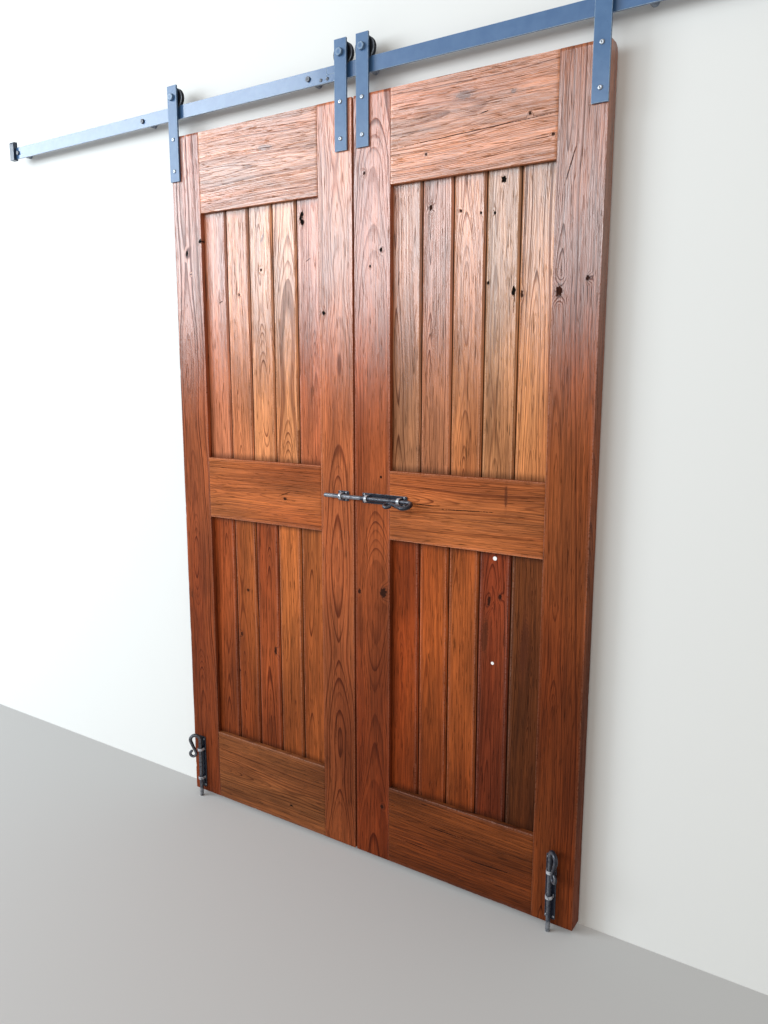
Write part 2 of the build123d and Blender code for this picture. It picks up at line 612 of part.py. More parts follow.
for hand, side in SIDES.items():
    strap_places = {place: side * distance for place, distance in STRAP_PLACES.items()}
    drop_bolt = DROP_BOLTS[hand]
    drop_start = (side * (OUTER_EDGE - drop_bolt["inset"]), LEAF_FOOT + DROP_PLATE_FOOT)
    plate_name, plate_start, plate_length, plate_staples = BOLT_PLATES[hand]
    bolt_start = (side * (MEETING_EDGE + plate_start), BOLT_Z)

    strap_screws = [(x, LEAF_TOP - drop) for x in strap_places.values() for drop in STRAP_SCREW_DROPS]
    plate_screws = plate_screw_places(drop_start, (0, 1), DROP_PLATE_LENGTH)
    plate_screws += plate_screw_places(bolt_start, (side, 0), plate_length)
    holes = pilot_holes(strap_screws, plate_screws)

    save(stile(side, MEETING_EDGE, OPENING_START, holes, False), f"{hand}_inner_stile")
    save(stile(side, OPENING_END, OPENING_END, holes, hand == WORN_LEAF), f"{hand}_outer_stile")
    for name, (low, width, grooved_low, grooved_high) in LEAF_RAILS.items():
        save(cross_rail(side, low, width, grooved_low, grooved_high, holes), f"{hand}_{name}")

    panel_left, panel_right = sorted((side * OPENING_START, side * OPENING_END))
    for name, (low, high) in PANELS.items():
        for number in range(1, BOARD_COUNT + 1):
            first, last = number == 1, number == BOARD_COUNT
            left = panel_left - BOARD_REACH if first else seam(panel_left, number - 1) + SEAM_GAP / 2
            right = panel_right + BOARD_REACH if last else seam(panel_left, number) - SEAM_GAP / 2
            filled = hand == WORN_LEAF and name == "lower" and number == FILLED_BOARD
            fillings = board_fillings((left + right) / 2) if filled else []
            plank = board(left, right, low - BOARD_REACH, high + BOARD_REACH, not first, not last, fillings)
            save(plank, f"{hand}_{name}_board_{number}")

    for place, x in strap_places.items():
        save(strap(x), f"{hand}_{place}_strap")
        save(wheel(x), f"{hand}_{place}_wheel")
    axles = [(x, AXLE_Z) for x in strap_places.values()]
    axle_bolt = (AXLE_HEAD_FLATS, AXLE_HEAD, AXLE_RADIUS, AXLE_BEYOND_NUT - NUT_REAR - STRAP_FRONT)
    save(hex_bolts(axles, STRAP_FRONT, *axle_bolt), f"{hand}_axle_bolts")
    with BuildPart() as nuts:
        with BuildSketch(facing(-NUT_REAR)):
            with Locations(*axles):
                RegularPolygon(radius=NUT_FLATS / 2, side_count=6, major_radius=False)
                Circle(AXLE_RADIUS + SCREW_PLAY / 2, mode=Mode.SUBTRACT)
        extrude(amount=NUT_HEIGHT)
    save(nuts, f"{hand}_axle_nuts")
    strap_screw = (STRAP_SCREW_HEAD_RADIUS, STRAP_SCREW_HEAD, STRAP_SCREW_RADIUS, STRAP_SCREW_LENGTH)
    save(screws(strap_screws, STRAP_FRONT, *strap_screw, socket_radius=SOCKET_RADIUS), f"{hand}_strap_screws")

    staples = [height - DROP_PLATE_FOOT for height in drop_bolt["staples"]]
    save(bolt_plate(drop_start, (0, 1), DROP_PLATE_LENGTH, staples), f"{hand}_drop_bolt_plate")
    save(bolt_plate(bolt_start, (side, 0), plate_length, plate_staples), f"{hand}_{plate_name}")
    plate_screw = (PLATE_SCREW_HEAD_RADIUS, PLATE_SCREW_HEAD, PLATE_SCREW_RADIUS, PLATE_SCREW_LENGTH)
    save(screws(plate_screws, PLATE_FRONT, *plate_screw), f"{hand}_plate_screws")
    drop_top = (drop_start[0], ROD_AXIS, LEAF_FOOT + drop_bolt["top"])
    turn = radians(drop_bolt["turn"])
    drop_rod = bolt_rod(drop_top, (0, 0, 1), (side * cos(turn), -sin(turn), 0), drop_bolt["top"] + FLOOR_GAP)
    save(drop_rod, f"{hand}_drop_rod")

# The rod of the centre bolt, which runs from the right leaf's plate through the left leaf's keeper
rod_top = MEETING_EDGE + BOLT_PLATE_START + BOLT_PLATE_LENGTH + BOLT_ROD_OVERHANG
rod_tip = -(MEETING_EDGE + KEEPER_PLATE_START + KEEPER_STAPLE_INSET + BOLT_TIP_PAST_KEEPER)
droop = radians(BOLT_DROOP)
crook_way = (0, -cos(droop), -sin(droop))
centre_rod = bolt_rod((rod_top, ROD_AXIS, BOLT_Z), (1, 0, 0), crook_way, rod_top - rod_tip)
save(centre_rod, "centre_bolt_rod")
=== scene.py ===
from math import acos, atan2, cos, hypot, pi, radians, sin, sqrt

import bmesh
import bpy
from mathutils import Matrix, Vector, noise


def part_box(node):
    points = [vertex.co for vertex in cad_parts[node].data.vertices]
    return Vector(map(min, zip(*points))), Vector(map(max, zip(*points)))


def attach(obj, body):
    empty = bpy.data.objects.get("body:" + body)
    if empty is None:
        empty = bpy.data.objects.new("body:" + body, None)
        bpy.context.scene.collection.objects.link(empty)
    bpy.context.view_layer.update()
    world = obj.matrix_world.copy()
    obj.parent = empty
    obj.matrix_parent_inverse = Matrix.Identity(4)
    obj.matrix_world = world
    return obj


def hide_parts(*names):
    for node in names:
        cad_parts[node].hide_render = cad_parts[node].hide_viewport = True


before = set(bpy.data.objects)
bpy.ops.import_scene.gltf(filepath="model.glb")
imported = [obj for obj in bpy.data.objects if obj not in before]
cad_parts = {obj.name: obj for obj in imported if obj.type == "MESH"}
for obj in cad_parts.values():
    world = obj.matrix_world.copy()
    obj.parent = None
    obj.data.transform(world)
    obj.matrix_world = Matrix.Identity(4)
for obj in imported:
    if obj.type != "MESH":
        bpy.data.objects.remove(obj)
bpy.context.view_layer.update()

# Sizes of the leaves, in millimetres; X runs along the wall, +Y into it and +Z up
MM = 0.001
LEAF_FRONT, LEAF_BACK = -58, -10
LEAF_TOP, LEAF_FOOT = -70, -2170
FLOOR = -2185
MEETING_EDGE, OUTER_EDGE = 3, 670
OPENING_START, OPENING_END = 116, 557
BOARD_FRONT, BOARD_BACK = -43, -25
GROOVE_FRONT, GROOVE_BACK = -43.2, -24.8
GROOVE_DEPTH = 12
HAUNCH = 11.8
BOARD_REACH = 11
BOARD_COUNT = 5
SEAM_BEVEL, SEAM_TRIM = 6, 0.4
TONGUE, TONGUE_DEPTH, TONGUE_HALF, TONGUE_PLAY = 8, -31, 3, 0.2
ARRIS, SEAM_ARRIS, END_EASE, HOLLOW, BOARD_CHIPPING = 2, 0.9, 0.7, 0.45, 0.7
WORN_CORNER = 20
FRAME_STEP, BOARD_STEP, LENGTH_STEP, BOARD_CUTS = 9, 8, 7, 94
# How far (in mm) painted shade reaches on the stiles' recess sides and the rails' undersides, how far the rails'
# top faces darken, and how far soil and painted shade reach beside the boards' seams
STILE_SHADE, UNDERSIDE_SHADE, HEAD_DARKENING, SEAM_GRIME_AND_SHADE = 17, 9, 19, 7
PANELS = {"lower": (-1942, -1215), "upper": (-1027, -298)}
LEAF_RAILS = {
    "bottom_rail": (LEAF_FOOT, PANELS["lower"][0], False, True),
    "mid_rail": (PANELS["lower"][1], PANELS["upper"][0], True, True),
    "top_rail": (PANELS["upper"][1], LEAF_TOP, True, False),
}
SIDES = {"left": -1, "right": 1}

# Sizes of the rail and what is screwed to it
RAIL_FRONT, RAIL_BACK, RAIL_END, BAR_EDGE = -50, -44, 1485, 19
LAP_LEFT, LAP_RIGHT, LAP_GAP = -88, -60, 0.2
SPLICE_LEFT, SPLICE_RIGHT, SPLICE_LOW, SPLICE_HIGH, SPLICE_THICKNESS = -118, -14, -18, -2, 5
SPLICE_SCREWS, SPLICE_SCREW_Z = (-106, -85, -47, -26), -10
FIXINGS = (-1448, -798, -148, 36, 742, 1448)
SPACER_INNER, SPACER_OUTER, SPACER_EASE = 4.2, 9.5, 0.4
WALL_SCREW_FLATS, WALL_SCREW_HEAD = 13, 5
WALL_SCREW_RADIUS, WALL_SCREW_THREAD, WALL_SCREW_LENGTH, WALL_SCREW_POINT = 4, 3.5, 100, 3
STOP_CENTRE, STOP_HALF, STOP_COVER, STOP_BELOW, STOP_ABOVE, STOP_ROUND, STOP_PLAY = 1470, 11, 11, 5, 19, 8, 0.1
BAR_EASE, SPLICE_EASE, STOP_EASE, STRAP_EASE, PLATE_EASE = 0.7, 0.5, 0.6, 0.9, 0.6

# Sizes of the straps, the axles and the bolts
STRAPS = {"outer": 652, "inner": 34}
STRAP_HALF, STRAP_TOP, STRAP_FOOT = 19, 73, -198
STRAP_SCREWS = (LEAF_TOP - 8, LEAF_TOP - 98)
STRAP_FRONT, AXLE_Z = -64, 40
AXLE_FLATS, AXLE_HEAD, AXLE_RADIUS, AXLE_LENGTH = 18, 8, 5, 35.1
PLATE_FRONT, PLATE_HALF, PLATE_LENGTH, PLATE_RISE, PLATE_CORNER = -61, 14, 180, 15, 3
PLATE_SCREW_INSET, PLATE_SCREW_ASIDE = 8, 9.5
ROD_STANDOFF = 10
ROD_AXIS = PLATE_FRONT - ROD_STANDOFF
ROD_RADIUS, CROOK_RADIUS, CROOK_LEAN, ARM_LENGTH = 6, 16, 22, 42
EYE_RADIUS, EYE_GAP, TAIL_RADIUS = 10, 0.5, 4.8
STAPLE_GAP, STAPLE_THICKNESS, STAPLE_HALF, STAPLE_EASE, STAPLE_FOOT = 0.08, 3.5, 4.5, 0.8, 0.5
DROP_BOLTS = {
    "left": {"x": -632, "staples": (50, 152), "top": 202, "turn": 35},
    "right": {"x": 610, "staples": (82, 152), "top": 213, "turn": 45},
}
BOLT_Z, BOLT_TOP, BOLT_LENGTH, BOLT_DROOP = -1106, 197, 291, 21
DROP_POLISHED, BOLT_POLISHED = 30, 125
CENTRE_PLATES = {
    "left": ("left_keeper_plate", -17, -53, (-37,)),
    "right": ("right_centre_bolt_plate", 29, 173, (49, 153)),
}

# Round-headed screws: head radius and height, shank radius and length, and a socket's radius and depth
JOINT_SCREW, STRAP_SCREW, PLATE_SCREW = (4.5, 2.5, 3, 12), (5.5, 3, 3, 42, 2.2, 1.8), (3.4, 2, 2, 16)
SEEDS = {"wall": 11, "axle": 21, "strap": 31, "plate": 41, "drop_rod": 3, "centre_rod": 9}


# The angles, in degrees, from which the edges of timber, of turned pieces and of flat ones are shaded sharp
SAWN, TURNED, FLAT = 38, 35, 12


# Adding nodes to a tree
def feed(tree, made, values):
    """Link or set a node's inputs, given by name or by number."""
    for key, value in values.items():
        if isinstance(value, bpy.types.NodeSocket):
            tree.links.new(value, made.inputs[key])
        else:
            made.inputs[key].default_value = value
    return made


def put(tree, kind, *values, named=None, **settings):
    """Add a node; values go to its inputs in order, and named ones by name."""
    made = tree.nodes.new(kind)
    for key, value in settings.items():
        setattr(made, key, value)
    return feed(tree, made, {**dict(enumerate(values)), **(named or {})})


def calc(tree, operation, *values, clamp=False):
    """The result of a Math node."""
    return put(tree, "ShaderNodeMath", *values, operation=operation, use_clamp=clamp).outputs[0]


def times(tree, first, *others):
    """Values multiplied together."""
    for value in others:
        first = calc(tree, "MULTIPLY", first, value)
    return first


def more(tree, value, share, base):
    """A share of a value, added to a base."""
    return calc(tree, "MULTIPLY_ADD", value, share, base)


def vec(tree, operation, *values):
    """The result of a Vector Math node that gives a vector."""
    return put(tree, "ShaderNodeVectorMath", *values, operation=operation).outputs[0]


def fade(tree, value, low, high, start=0.0, end=1.0):
    """A smooth change from start to end as the value goes from low to high."""
    made = put(tree, "ShaderNodeMapRange", value, low, high, start, end, interpolation_type="SMOOTHSTEP")
    return made.outputs[0]


def mix(tree, factor, first, second, how="MIX"):
    """Two colours mixed."""
    made = put(tree, "ShaderNodeMix", data_type="RGBA", blend_type=how, clamp_result=False)
    return feed(tree, made, {0: factor, 6: first, 7: second}).outputs[2]


def cloud(tree, vector, scale, detail=2.0, rough=0.5):
    """A noise field from 0 to 1."""
    values = {"Vector": vector, "Scale": scale, "Detail": detail, "Roughness": rough}
    return put(tree, "ShaderNodeTexNoise", named=values).outputs[0]


def painted(tree, label):
    """A value kept on a mesh."""
    return put(tree, "ShaderNodeAttribute", attribute_name=label).outputs["Fac"]


def group(name, given, made):
    """A node group with named inputs and their values, and named outputs."""
    tree = bpy.data.node_groups.new(name, "ShaderNodeTree")
    for label, value in given.items():
        kind = "NodeSocketVector" if isinstance(value, tuple) else "NodeSocketFloat"
        tree.interface.new_socket(label, in_out="INPUT", socket_type=kind).default_value = value
    for label in made:
        tree.interface.new_socket(label, in_out="OUTPUT", socket_type="NodeSocketFloat")
    return tree, tree.nodes.new("NodeGroupInput").outputs


def give(tree, **values):
    """Link a group's results to its outputs."""
    feed(tree, tree.nodes.new("NodeGroupOutput"), values)
    return tree


def use(tree, grouped, **values):
    """A group placed in a tree, with its inputs set or linked by name."""
    return feed(tree, put(tree, "ShaderNodeGroup", node_tree=grouped), values).outputs


def pine_grain_group():
    """Growth rings cut through by the piece, the fibre between them and broad clouds of tone."""
    tree, given = group("pine_grain", {"Vector": (0, 0, 0), "Seed": 0, "Heart": (0, 0.05, 0), "Swirl": 0},
                        ("Late", "Fibre", "Coarse", "Pores", "Tone", "Red", "Height"))
    seed = given["Seed"]
    split = put(tree, "ShaderNodeSeparateXYZ", vec(tree, "SUBTRACT", given["Vector"], given["Heart"])).outputs
    aside = put(tree, "ShaderNodeCombineXYZ", seed, 0, times(tree, seed, 0.7)).outputs[0]
    own = vec(tree, "ADD", given["Vector"], aside)

    def field(across, deep, along, detail, rough=0.5):
        return cloud(tree, vec(tree, "MULTIPLY", own, (across, deep, along)), 1.0, detail, rough)

    def drift(*stretch):
        return calc(tree, "SUBTRACT", field(*stretch), 0.5)

    # The rings' radius from the heart, bent by slow and quick drifts
    swayed = more(tree, drift(1.5, 1.5, 1, 0), RING_WANDER, split[0])
    across = more(tree, drift(14, 14, 2.4, 1), 0.012, swayed)
    deep = more(tree, drift(3, 3, 3.2, 0), 0.04, split[1])
    squares = more(tree, across, across, times(tree, deep, deep))
    radius = more(tree, split[2], RING_TAPER, calc(tree, "SQRT", squares))
    radius = calc(tree, "ADD", radius, given["Swirl"])

    # Each ring: soft early wood that darkens slowly into late wood and then stops sharply
    along_radius = {"W": more(tree, radius, 55, seed), "Scale": 1, "Detail": 1}
    uneven = put(tree, "ShaderNodeTexNoise", noise_dimensions="1D", named=along_radius).outputs[0]
    count = more(tree, uneven, 5.0, calc(tree, "DIVIDE", radius, RING_SPACING * MM))
    place = calc(tree, "FRACT", count)
    rise = fade(tree, place, 0.40, 0.90)
    fall = fade(tree, place, 0.93, 1.0, 1, 0)
    which = calc(tree, "ADD", calc(tree, "FLOOR", count), seed)
    strength = put(tree, "ShaderNodeTexWhiteNoise", noise_dimensions="1D", named={"W": which}).outputs["Value"]
    late = times(tree, rise, times(tree, rise, fall), more(tree, strength, 0.65, 0.35))

    fibre = fade(tree, field(760, 300, 14, 2, 0.6), 0.3, 0.7)
    pores = fade(tree, field(330, 240, 17, 2, 0.6), 0.60, 0.70)
    coarse = fade(tree, field(170, 90, 3.4, 1), 0.3, 0.7)
    tone = field(13, 13, 2.6, 2)
    red = fade(tree, field(7, 7, 1.4, 1), 0.35, 0.75)
    height = more(tree, coarse, 0.4, more(tree, late, 0.7, times(tree, fibre, 0.35)))
    return give(tree, Late=late, Fibre=fibre, Coarse=coarse, Pores=pores, Tone=tone, Red=red,
                Height=more(tree, pores, -0.9, height))


def blemish_group():
    """A knot, hole, crack or stain inside a unit circle of its own, with a halo round it."""
    tree, given = group("blemish", {"Vector": (0, 0, 0), "Ragged": 0, "Wobble": 0.25}, ("Core", "Halo", "Swirl"))
    flat = vec(tree, "MULTIPLY", given["Vector"], (1, 0, 1))
    length = put(tree, "ShaderNodeVectorMath", flat, operation="LENGTH").outputs["Value"]
    reach = more(tree, given["Ragged"], given["Wobble"], length)
    depth = calc(tree, "ABSOLUTE", put(tree, "ShaderNodeSeparateXYZ", given["Vector"]).outputs[1])
    core = times(tree, fade(tree, reach, 0.75, 1.0, 1, 0), fade(tree, depth, 1.0, 1.3, 1, 0))
    halo, swirl = fade(tree, reach, 0.85, 1.7, 1, 0), fade(tree, length, 0.3, 3.2, 1, 0)
    return give(tree, Core=core, Halo=halo, Swirl=swirl)


# How far apart the rings are (in mm), how they widen along a piece and how far they wander (in m)
RING_SPACING, RING_TAPER, RING_WANDER = 4.4, 0.02, 0.05
PINE_GRAIN = pine_grain_group()
BLEMISH = blemish_group()

# A blemish's colour, how far it covers, its halo's share, its depth, and how far the rings bend (in m)
BLEMISHES = {
    "knot": ((0.022, 0.007, 0.004, 1), 0.92, 0.4, 0.5, 0.009),
    # Near-black: painted shade inside a hole, which the surface only bumps
    "hole": ((0.003, 0.002, 0.001, 1), 1.0, 0.35, 3.0, 0.005),
    # Near-black: painted shade inside a crack, which the surface only bumps
    "crack": ((0.010, 0.004, 0.003, 1), 0.92, 0.0, 1.8, 0.0),
    "stain": ((0.07, 0.017, 0.006, 1), 0.6, 0.3, 0.0, 0.0),
    "filling": ((0.93, 0.92, 0.90, 1), 1.0, 0.0, 0.0, 0.0),
}

# How far in a blemish goes (in m) and how ragged its edge is; a filling is shallow and round
THROUGH, RAGGED = {"filling": 0.016}, {"filling": 0.15}

# Painted shade: how a tone darkens towards the foot, where less light falls; where it starts and ends (in m), and
# its share there. The last row only makes the very foot darker
SHADE_TOWARDS_FOOT = {
    "outer_stile": (-0.95, -1.60, (0.52, 0.44, 0.36)),
    "stile": (-0.85, -1.90, (0.46, 0.36, 0.30)),
    "lower_board": (-1.30, -1.95, (0.62, 0.55, 0.50)),
    "other": (-2.10, -2.17, (0.75, 0.7, 0.7)),
}
# Near-black for soil and painted shade in seams and recesses; painted shade on the boards beside the rails, and
# how far it reaches (in mm)
GRIME_AND_SHADE, PANEL_SHADE, PANEL_SHADE_REACH = (0.012, 0.005, 0.003, 1), (0.03, 0.009, 0.004, 1), 22


def new_material(name):
    """A material with its tree, its shader and its Object coordinates."""
    made = bpy.data.materials.new(name)
    made.use_nodes = True
    tree = made.node_tree
    return made, tree, tree.nodes["Principled BSDF"], put(tree, "ShaderNodeTexCoord").outputs["Object"]


def timber(name, seed, upright, heart, tone, marks, shade_towards_foot, edges):
    """Weathered, varnished pine: heart is the ring centre, marks are placed on its front, both in mm."""
    made, tree, shader, place = new_material(name)

    def shaded(share, extra=0.0, most=1.0):
        """The tone with its channels multiplied, as a colour."""
        parts = share if isinstance(share, tuple) else (share,) * 3
        return [min(c * f + extra, most) for c, f in zip(tone, parts)] + [1]

    # The blemishes' places, which bend the rings round them
    ragged = calc(tree, "SUBTRACT", cloud(tree, place, 210, 1), 0.5)
    swirl, spots = 0.0, []
    for kind, x, z, wide, tall, *tilt in marks:
        set_out = {
            "Location": (x * MM, LEAF_FRONT * MM, z * MM),
            "Rotation": (0, radians(sum(tilt)), 0),
            "Scale": (wide * MM, THROUGH.get(kind, 0.05), tall * MM),
        }
        local = put(tree, "ShaderNodeMapping", place, vector_type="TEXTURE", named=set_out).outputs[0]
        spot = use(tree, BLEMISH, Vector=local, Ragged=ragged, Wobble=RAGGED.get(kind, 1.3))
        bend = BLEMISHES[kind][4]
        if bend:
            swirl = more(tree, spot["Swirl"], bend, swirl)
        spots.append((kind, spot))

    # The grain, its colours and its fine streaks
    turn = {"Rotation": (0, 0 if upright else radians(-90), 0)}
    along = put(tree, "ShaderNodeMapping", place, vector_type="POINT", named=turn).outputs[0]
    centre = heart[0] if upright else -heart[0]
    grain = use(tree, PINE_GRAIN, Vector=along, Seed=seed, Swirl=swirl,
                Heart=(centre * MM, (heart[1] + LEAF_FRONT) * MM, 0))
    late = calc(tree, "MULTIPLY", grain["Late"], 0.95, clamp=True)
    colour = mix(tree, late, shaded(1.36), shaded((0.40, 0.27, 0.22)))
    fine = fade(tree, grain["Fibre"], 0.05, 0.9, 0.72, 1.14)
    lines = fade(tree, grain["Coarse"], 0.05, 0.8, 0.84, 1.08)
    shade = times(tree, fine, lines, fade(tree, grain["Tone"], 0.3, 0.72, 0.68, 1.2))
    colour = vec(tree, "MULTIPLY", colour, put(tree, "ShaderNodeCombineXYZ", shade, shade, shade).outputs[0])
    colour = mix(tree, times(tree, grain["Red"], 0.5), colour, (0.80, 0.52, 0.40, 1), "MULTIPLY")
    colour = mix(tree, times(tree, grain["Pores"], 0.7), colour, shaded(0.16))

    # Scuffed arrises with painted highlights, soil and painted shade in the seams and recesses, painted shade
    # towards the foot, and painted shade on the boards beside the leaf's rails
    # Arrises painted paler: partly scuffing, partly painted highlight
    rubbed_and_lit = times(tree, painted(tree, "wear_and_highlight"), fade(tree, ragged, -0.25, 0.1), 0.8)
    colour = mix(tree, rubbed_and_lit, colour, shaded(1.25, 0.10, 0.85))
    # Soil and painted shade in the seams and recesses, as near-black
    grime_and_shade_mask = times(tree, fade(tree, painted(tree, "grime_and_shade"), 0.74, 1.0), 0.95)
    colour = mix(tree, grime_and_shade_mask, colour, GRIME_AND_SHADE)
    high = put(tree, "ShaderNodeSeparateXYZ", place).outputs[2]
    # Painted shade: darker towards the foot
    start, end, share = SHADE_TOWARDS_FOOT[shade_towards_foot]
    colour = mix(tree, fade(tree, high, end, start, 1, 0), colour, list(share) + [1], "MULTIPLY")
    # Painted shade on the boards near the rails above and below them
    if edges:
        clear = [fade(tree, high, edge * MM, (edge + reach) * MM)
                 for edge, reach in zip(edges, (PANEL_SHADE_REACH, -PANEL_SHADE_REACH))]
        colour = mix(tree, more(tree, calc(tree, "MINIMUM", *clear), -0.55, 0.55), colour, PANEL_SHADE)

    height, bare = grain["Height"], grime_and_shade_mask
    for kind, spot in spots:
        core, cover, halo, depth, _ = BLEMISHES[kind]
        if halo:
            colour = mix(tree, times(tree, spot["Halo"], halo), colour, [c * 2 for c in core[:3]] + [1])
        colour = mix(tree, times(tree, spot["Core"], cover), colour, core)
        if depth:
            height = more(tree, spot["Core"], -depth, height)
            bare = calc(tree, "MAXIMUM", bare, spot["Core"])

    # Varnish on the upper part, thin or gone over late wood, pores and blemishes
    rough_wood = calc(tree, "MAXIMUM", grain["Pores"], grain["Late"])
    bare = calc(tree, "MAXIMUM", bare, times(tree, rough_wood, 0.65))
    gloss = fade(tree, grain["Height"], 0.1, 1.1, 0.58, 0.42)
    varnish = times(tree, fade(tree, high, -1.02, -0.42, 0.03, 1.0), calc(tree, "SUBTRACT", 1, bare))
    relief = {"Strength": 0.9, "Distance": 0.0006, "Height": height}
    bump = put(tree, "ShaderNodeBump", named=relief).outputs[0]
    feed(tree, shader, {
        "Base Color": colour, "Roughness": more(tree, bare, 0.3, gloss), "Specular IOR Level": 0.08,
        "Coat Weight": varnish, "Coat Roughness": 0.27, "Coat IOR": 1.85, "Normal": bump, "Coat Normal": bump,
    })
    return made


# Cutting the pieces of timber; a corner is (across, depth, easing, whether the side after it is cut finely)
def sharp_corners(*places):
    """Corners without easing, on sides of one part."""
    return [(a, y, 0, False) for a, y in places]


def notch(edge, reach, first, second):
    """A groove's or a tongue's four corners on one edge, between two depths."""
    return sharp_corners((edge, first), (reach, first), (reach, second), (edge, second))


def drawn_in(low, high):
    """The box of an end that is drawn in a little, so that it catches the light."""
    return low + END_EASE, high - END_EASE, LEAF_FRONT + END_EASE, LEAF_BACK - END_EASE


def ring(corners, step, run, seed, chipping):
    """The outline at one place along the piece, its eased corners scuffed unevenly, as (across, depth, scuffing
    and painted highlight).
    """
    count = len(corners)
    rounded, parts = [], []
    for index, (a, y, ease, fine) in enumerate(corners):
        before, after = corners[index - 1], corners[(index + 1) % count]
        parts.append(max(1, round(hypot(after[0] - a, after[1] - y) / step)) if fine else 1)
        if not ease:
            rounded.append([(a, y, 0.0)])
            continue
        slow = noise.noise(Vector((seed + index * 7.3, run * 0.011, 1.5)))
        quick = noise.noise(Vector((seed + index * 3.1, run * 0.06, 4.5)))
        nick = noise.noise(Vector((run * 0.21, seed, index)))
        chip = max(0.0, quick - 0.28) * 4.0 + max(0.0, nick - 0.42) * 5.0
        reach = ease * (0.85 + 0.55 * slow) + chipping * chip
        ends = []
        for other in (before, after):
            gap = hypot(other[0] - a, other[1] - y)
            part = min(reach, gap * 0.4) / gap
            ends.append((a + (other[0] - a) * part, y + (other[1] - y) * part))
        arc = []
        for t, wear_and_highlight in ((0, 0.25), (0.33, 1), (0.67, 1), (1, 0.25)):
            bent = [(1 - t) ** 2 * start + 2 * t * (1 - t) * corner + t * t * end
                    for start, corner, end in zip(ends[0], (a, y), ends[1])]
            arc.append((*bent, wear_and_highlight))
        rounded.append(arc)
    points = []
    for index, arc in enumerate(rounded):
        points += arc
        start, end = arc[-1], rounded[(index + 1) % count][0]
        for cut in range(1, parts[index]):
            t = cut / parts[index]
            points.append((start[0] + (end[0] - start[0]) * t, start[1] + (end[1] - start[1]) * t, 0.0))
    return points


def show(name, data):
    """An object that shows its data in the scene."""
    made = bpy.data.objects.new(name, data)
    bpy.context.scene.collection.objects.link(made)
    return made


def dress(mesh, name, body, material, slot, sharp):
    """Finish a mesh as a piece that rides on a body and stands for the CAD node of the same name."""
    work = bmesh.new()
    work.from_mesh(mesh)
    bmesh.ops.recalc_face_normals(work, faces=work.faces)
    work.to_mesh(mesh)
    work.free()
    mesh.shade_smooth()
    mesh.set_sharp_from_angle(angle=radians(sharp))
    mesh.materials.clear()
    mesh.materials.append(material)
    piece = show(name + "_finished", mesh)
    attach(piece, body)
    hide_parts(name)


def cut_timber(name, corners, step, stops, upright, seed, front, grime_and_shade_at, edges=None, chipping=1.0, limit=None):
    """Sweep an outline along a piece; stops are (run, clamp), a clamp being a haunch's or an eased end's box."""
    verts, faces, wears_and_highlights, grimes_and_shades = [], [], [], []
    for number, (run, clamp) in enumerate(stops):
        points = ring(corners, step, run, seed, chipping)
        size = len(points)
        for a, y, wear_and_highlight in points:
            if y < front + 0.01:
                hollow = noise.noise(Vector((a * 0.03, run * 0.008, seed))) * 0.5 + 0.5
                y += HOLLOW * hollow
            if clamp:
                a = min(max(a, clamp[0]), clamp[1])
                y = min(max(y, clamp[2]), clamp[3])
                wear_and_highlight = 0.0
            if limit:
                y = min(y, limit(run))
            grimes_and_shades.append(grime_and_shade_at(a, y))
            wears_and_highlights.append(wear_and_highlight)
            verts.append((a * MM, y * MM, run * MM) if upright else (run * MM, y * MM, a * MM))
        if number:
            base = (number - 1) * size
            for i in range(size):
                j = (i + 1) % size
                faces.append((base + i, base + j, base + size + j, base + size + i))
    faces.append(tuple(range(size)))
    faces.append(tuple(reversed(range(len(verts) - size, len(verts)))))
    mesh = bpy.data.meshes.new(name)
    mesh.from_pydata(verts, [], faces)
    # Scuffing and painted highlight on the arrises, and soil and painted shade in the seams and recesses, kept on
    # the mesh
    for label, values in (("wear_and_highlight", wears_and_highlights), ("grime_and_shade", grimes_and_shades)):
        mesh.attributes.new(label, "FLOAT", "POINT").data.foreach_set("value", values)
    tone, heart, marks = LOOKS[name]
    shade_towards_foot = next((kind for kind in SHADE_TOWARDS_FOOT if kind in name), "other")
    own_seed = 3.7 * (1 + sorted(LOOKS).index(name))
    material = timber(name + "_pine", own_seed, upright, heart, tone, marks, shade_towards_foot, edges)
    slot = "board_wood" if "board" in name else "frame_wood"
    dress(mesh, name, name.split("_")[0] + "_leaf", material, slot, SAWN)


def stops_between(low, high, pinch=0.8):
    """Places along a piece, close together at its ends."""
    count = max(2, round((high - low - 2 * pinch) / LENGTH_STEP))
    return [(low + pinch + (high - low - 2 * pinch) * n / count, None) for n in range(count + 1)]


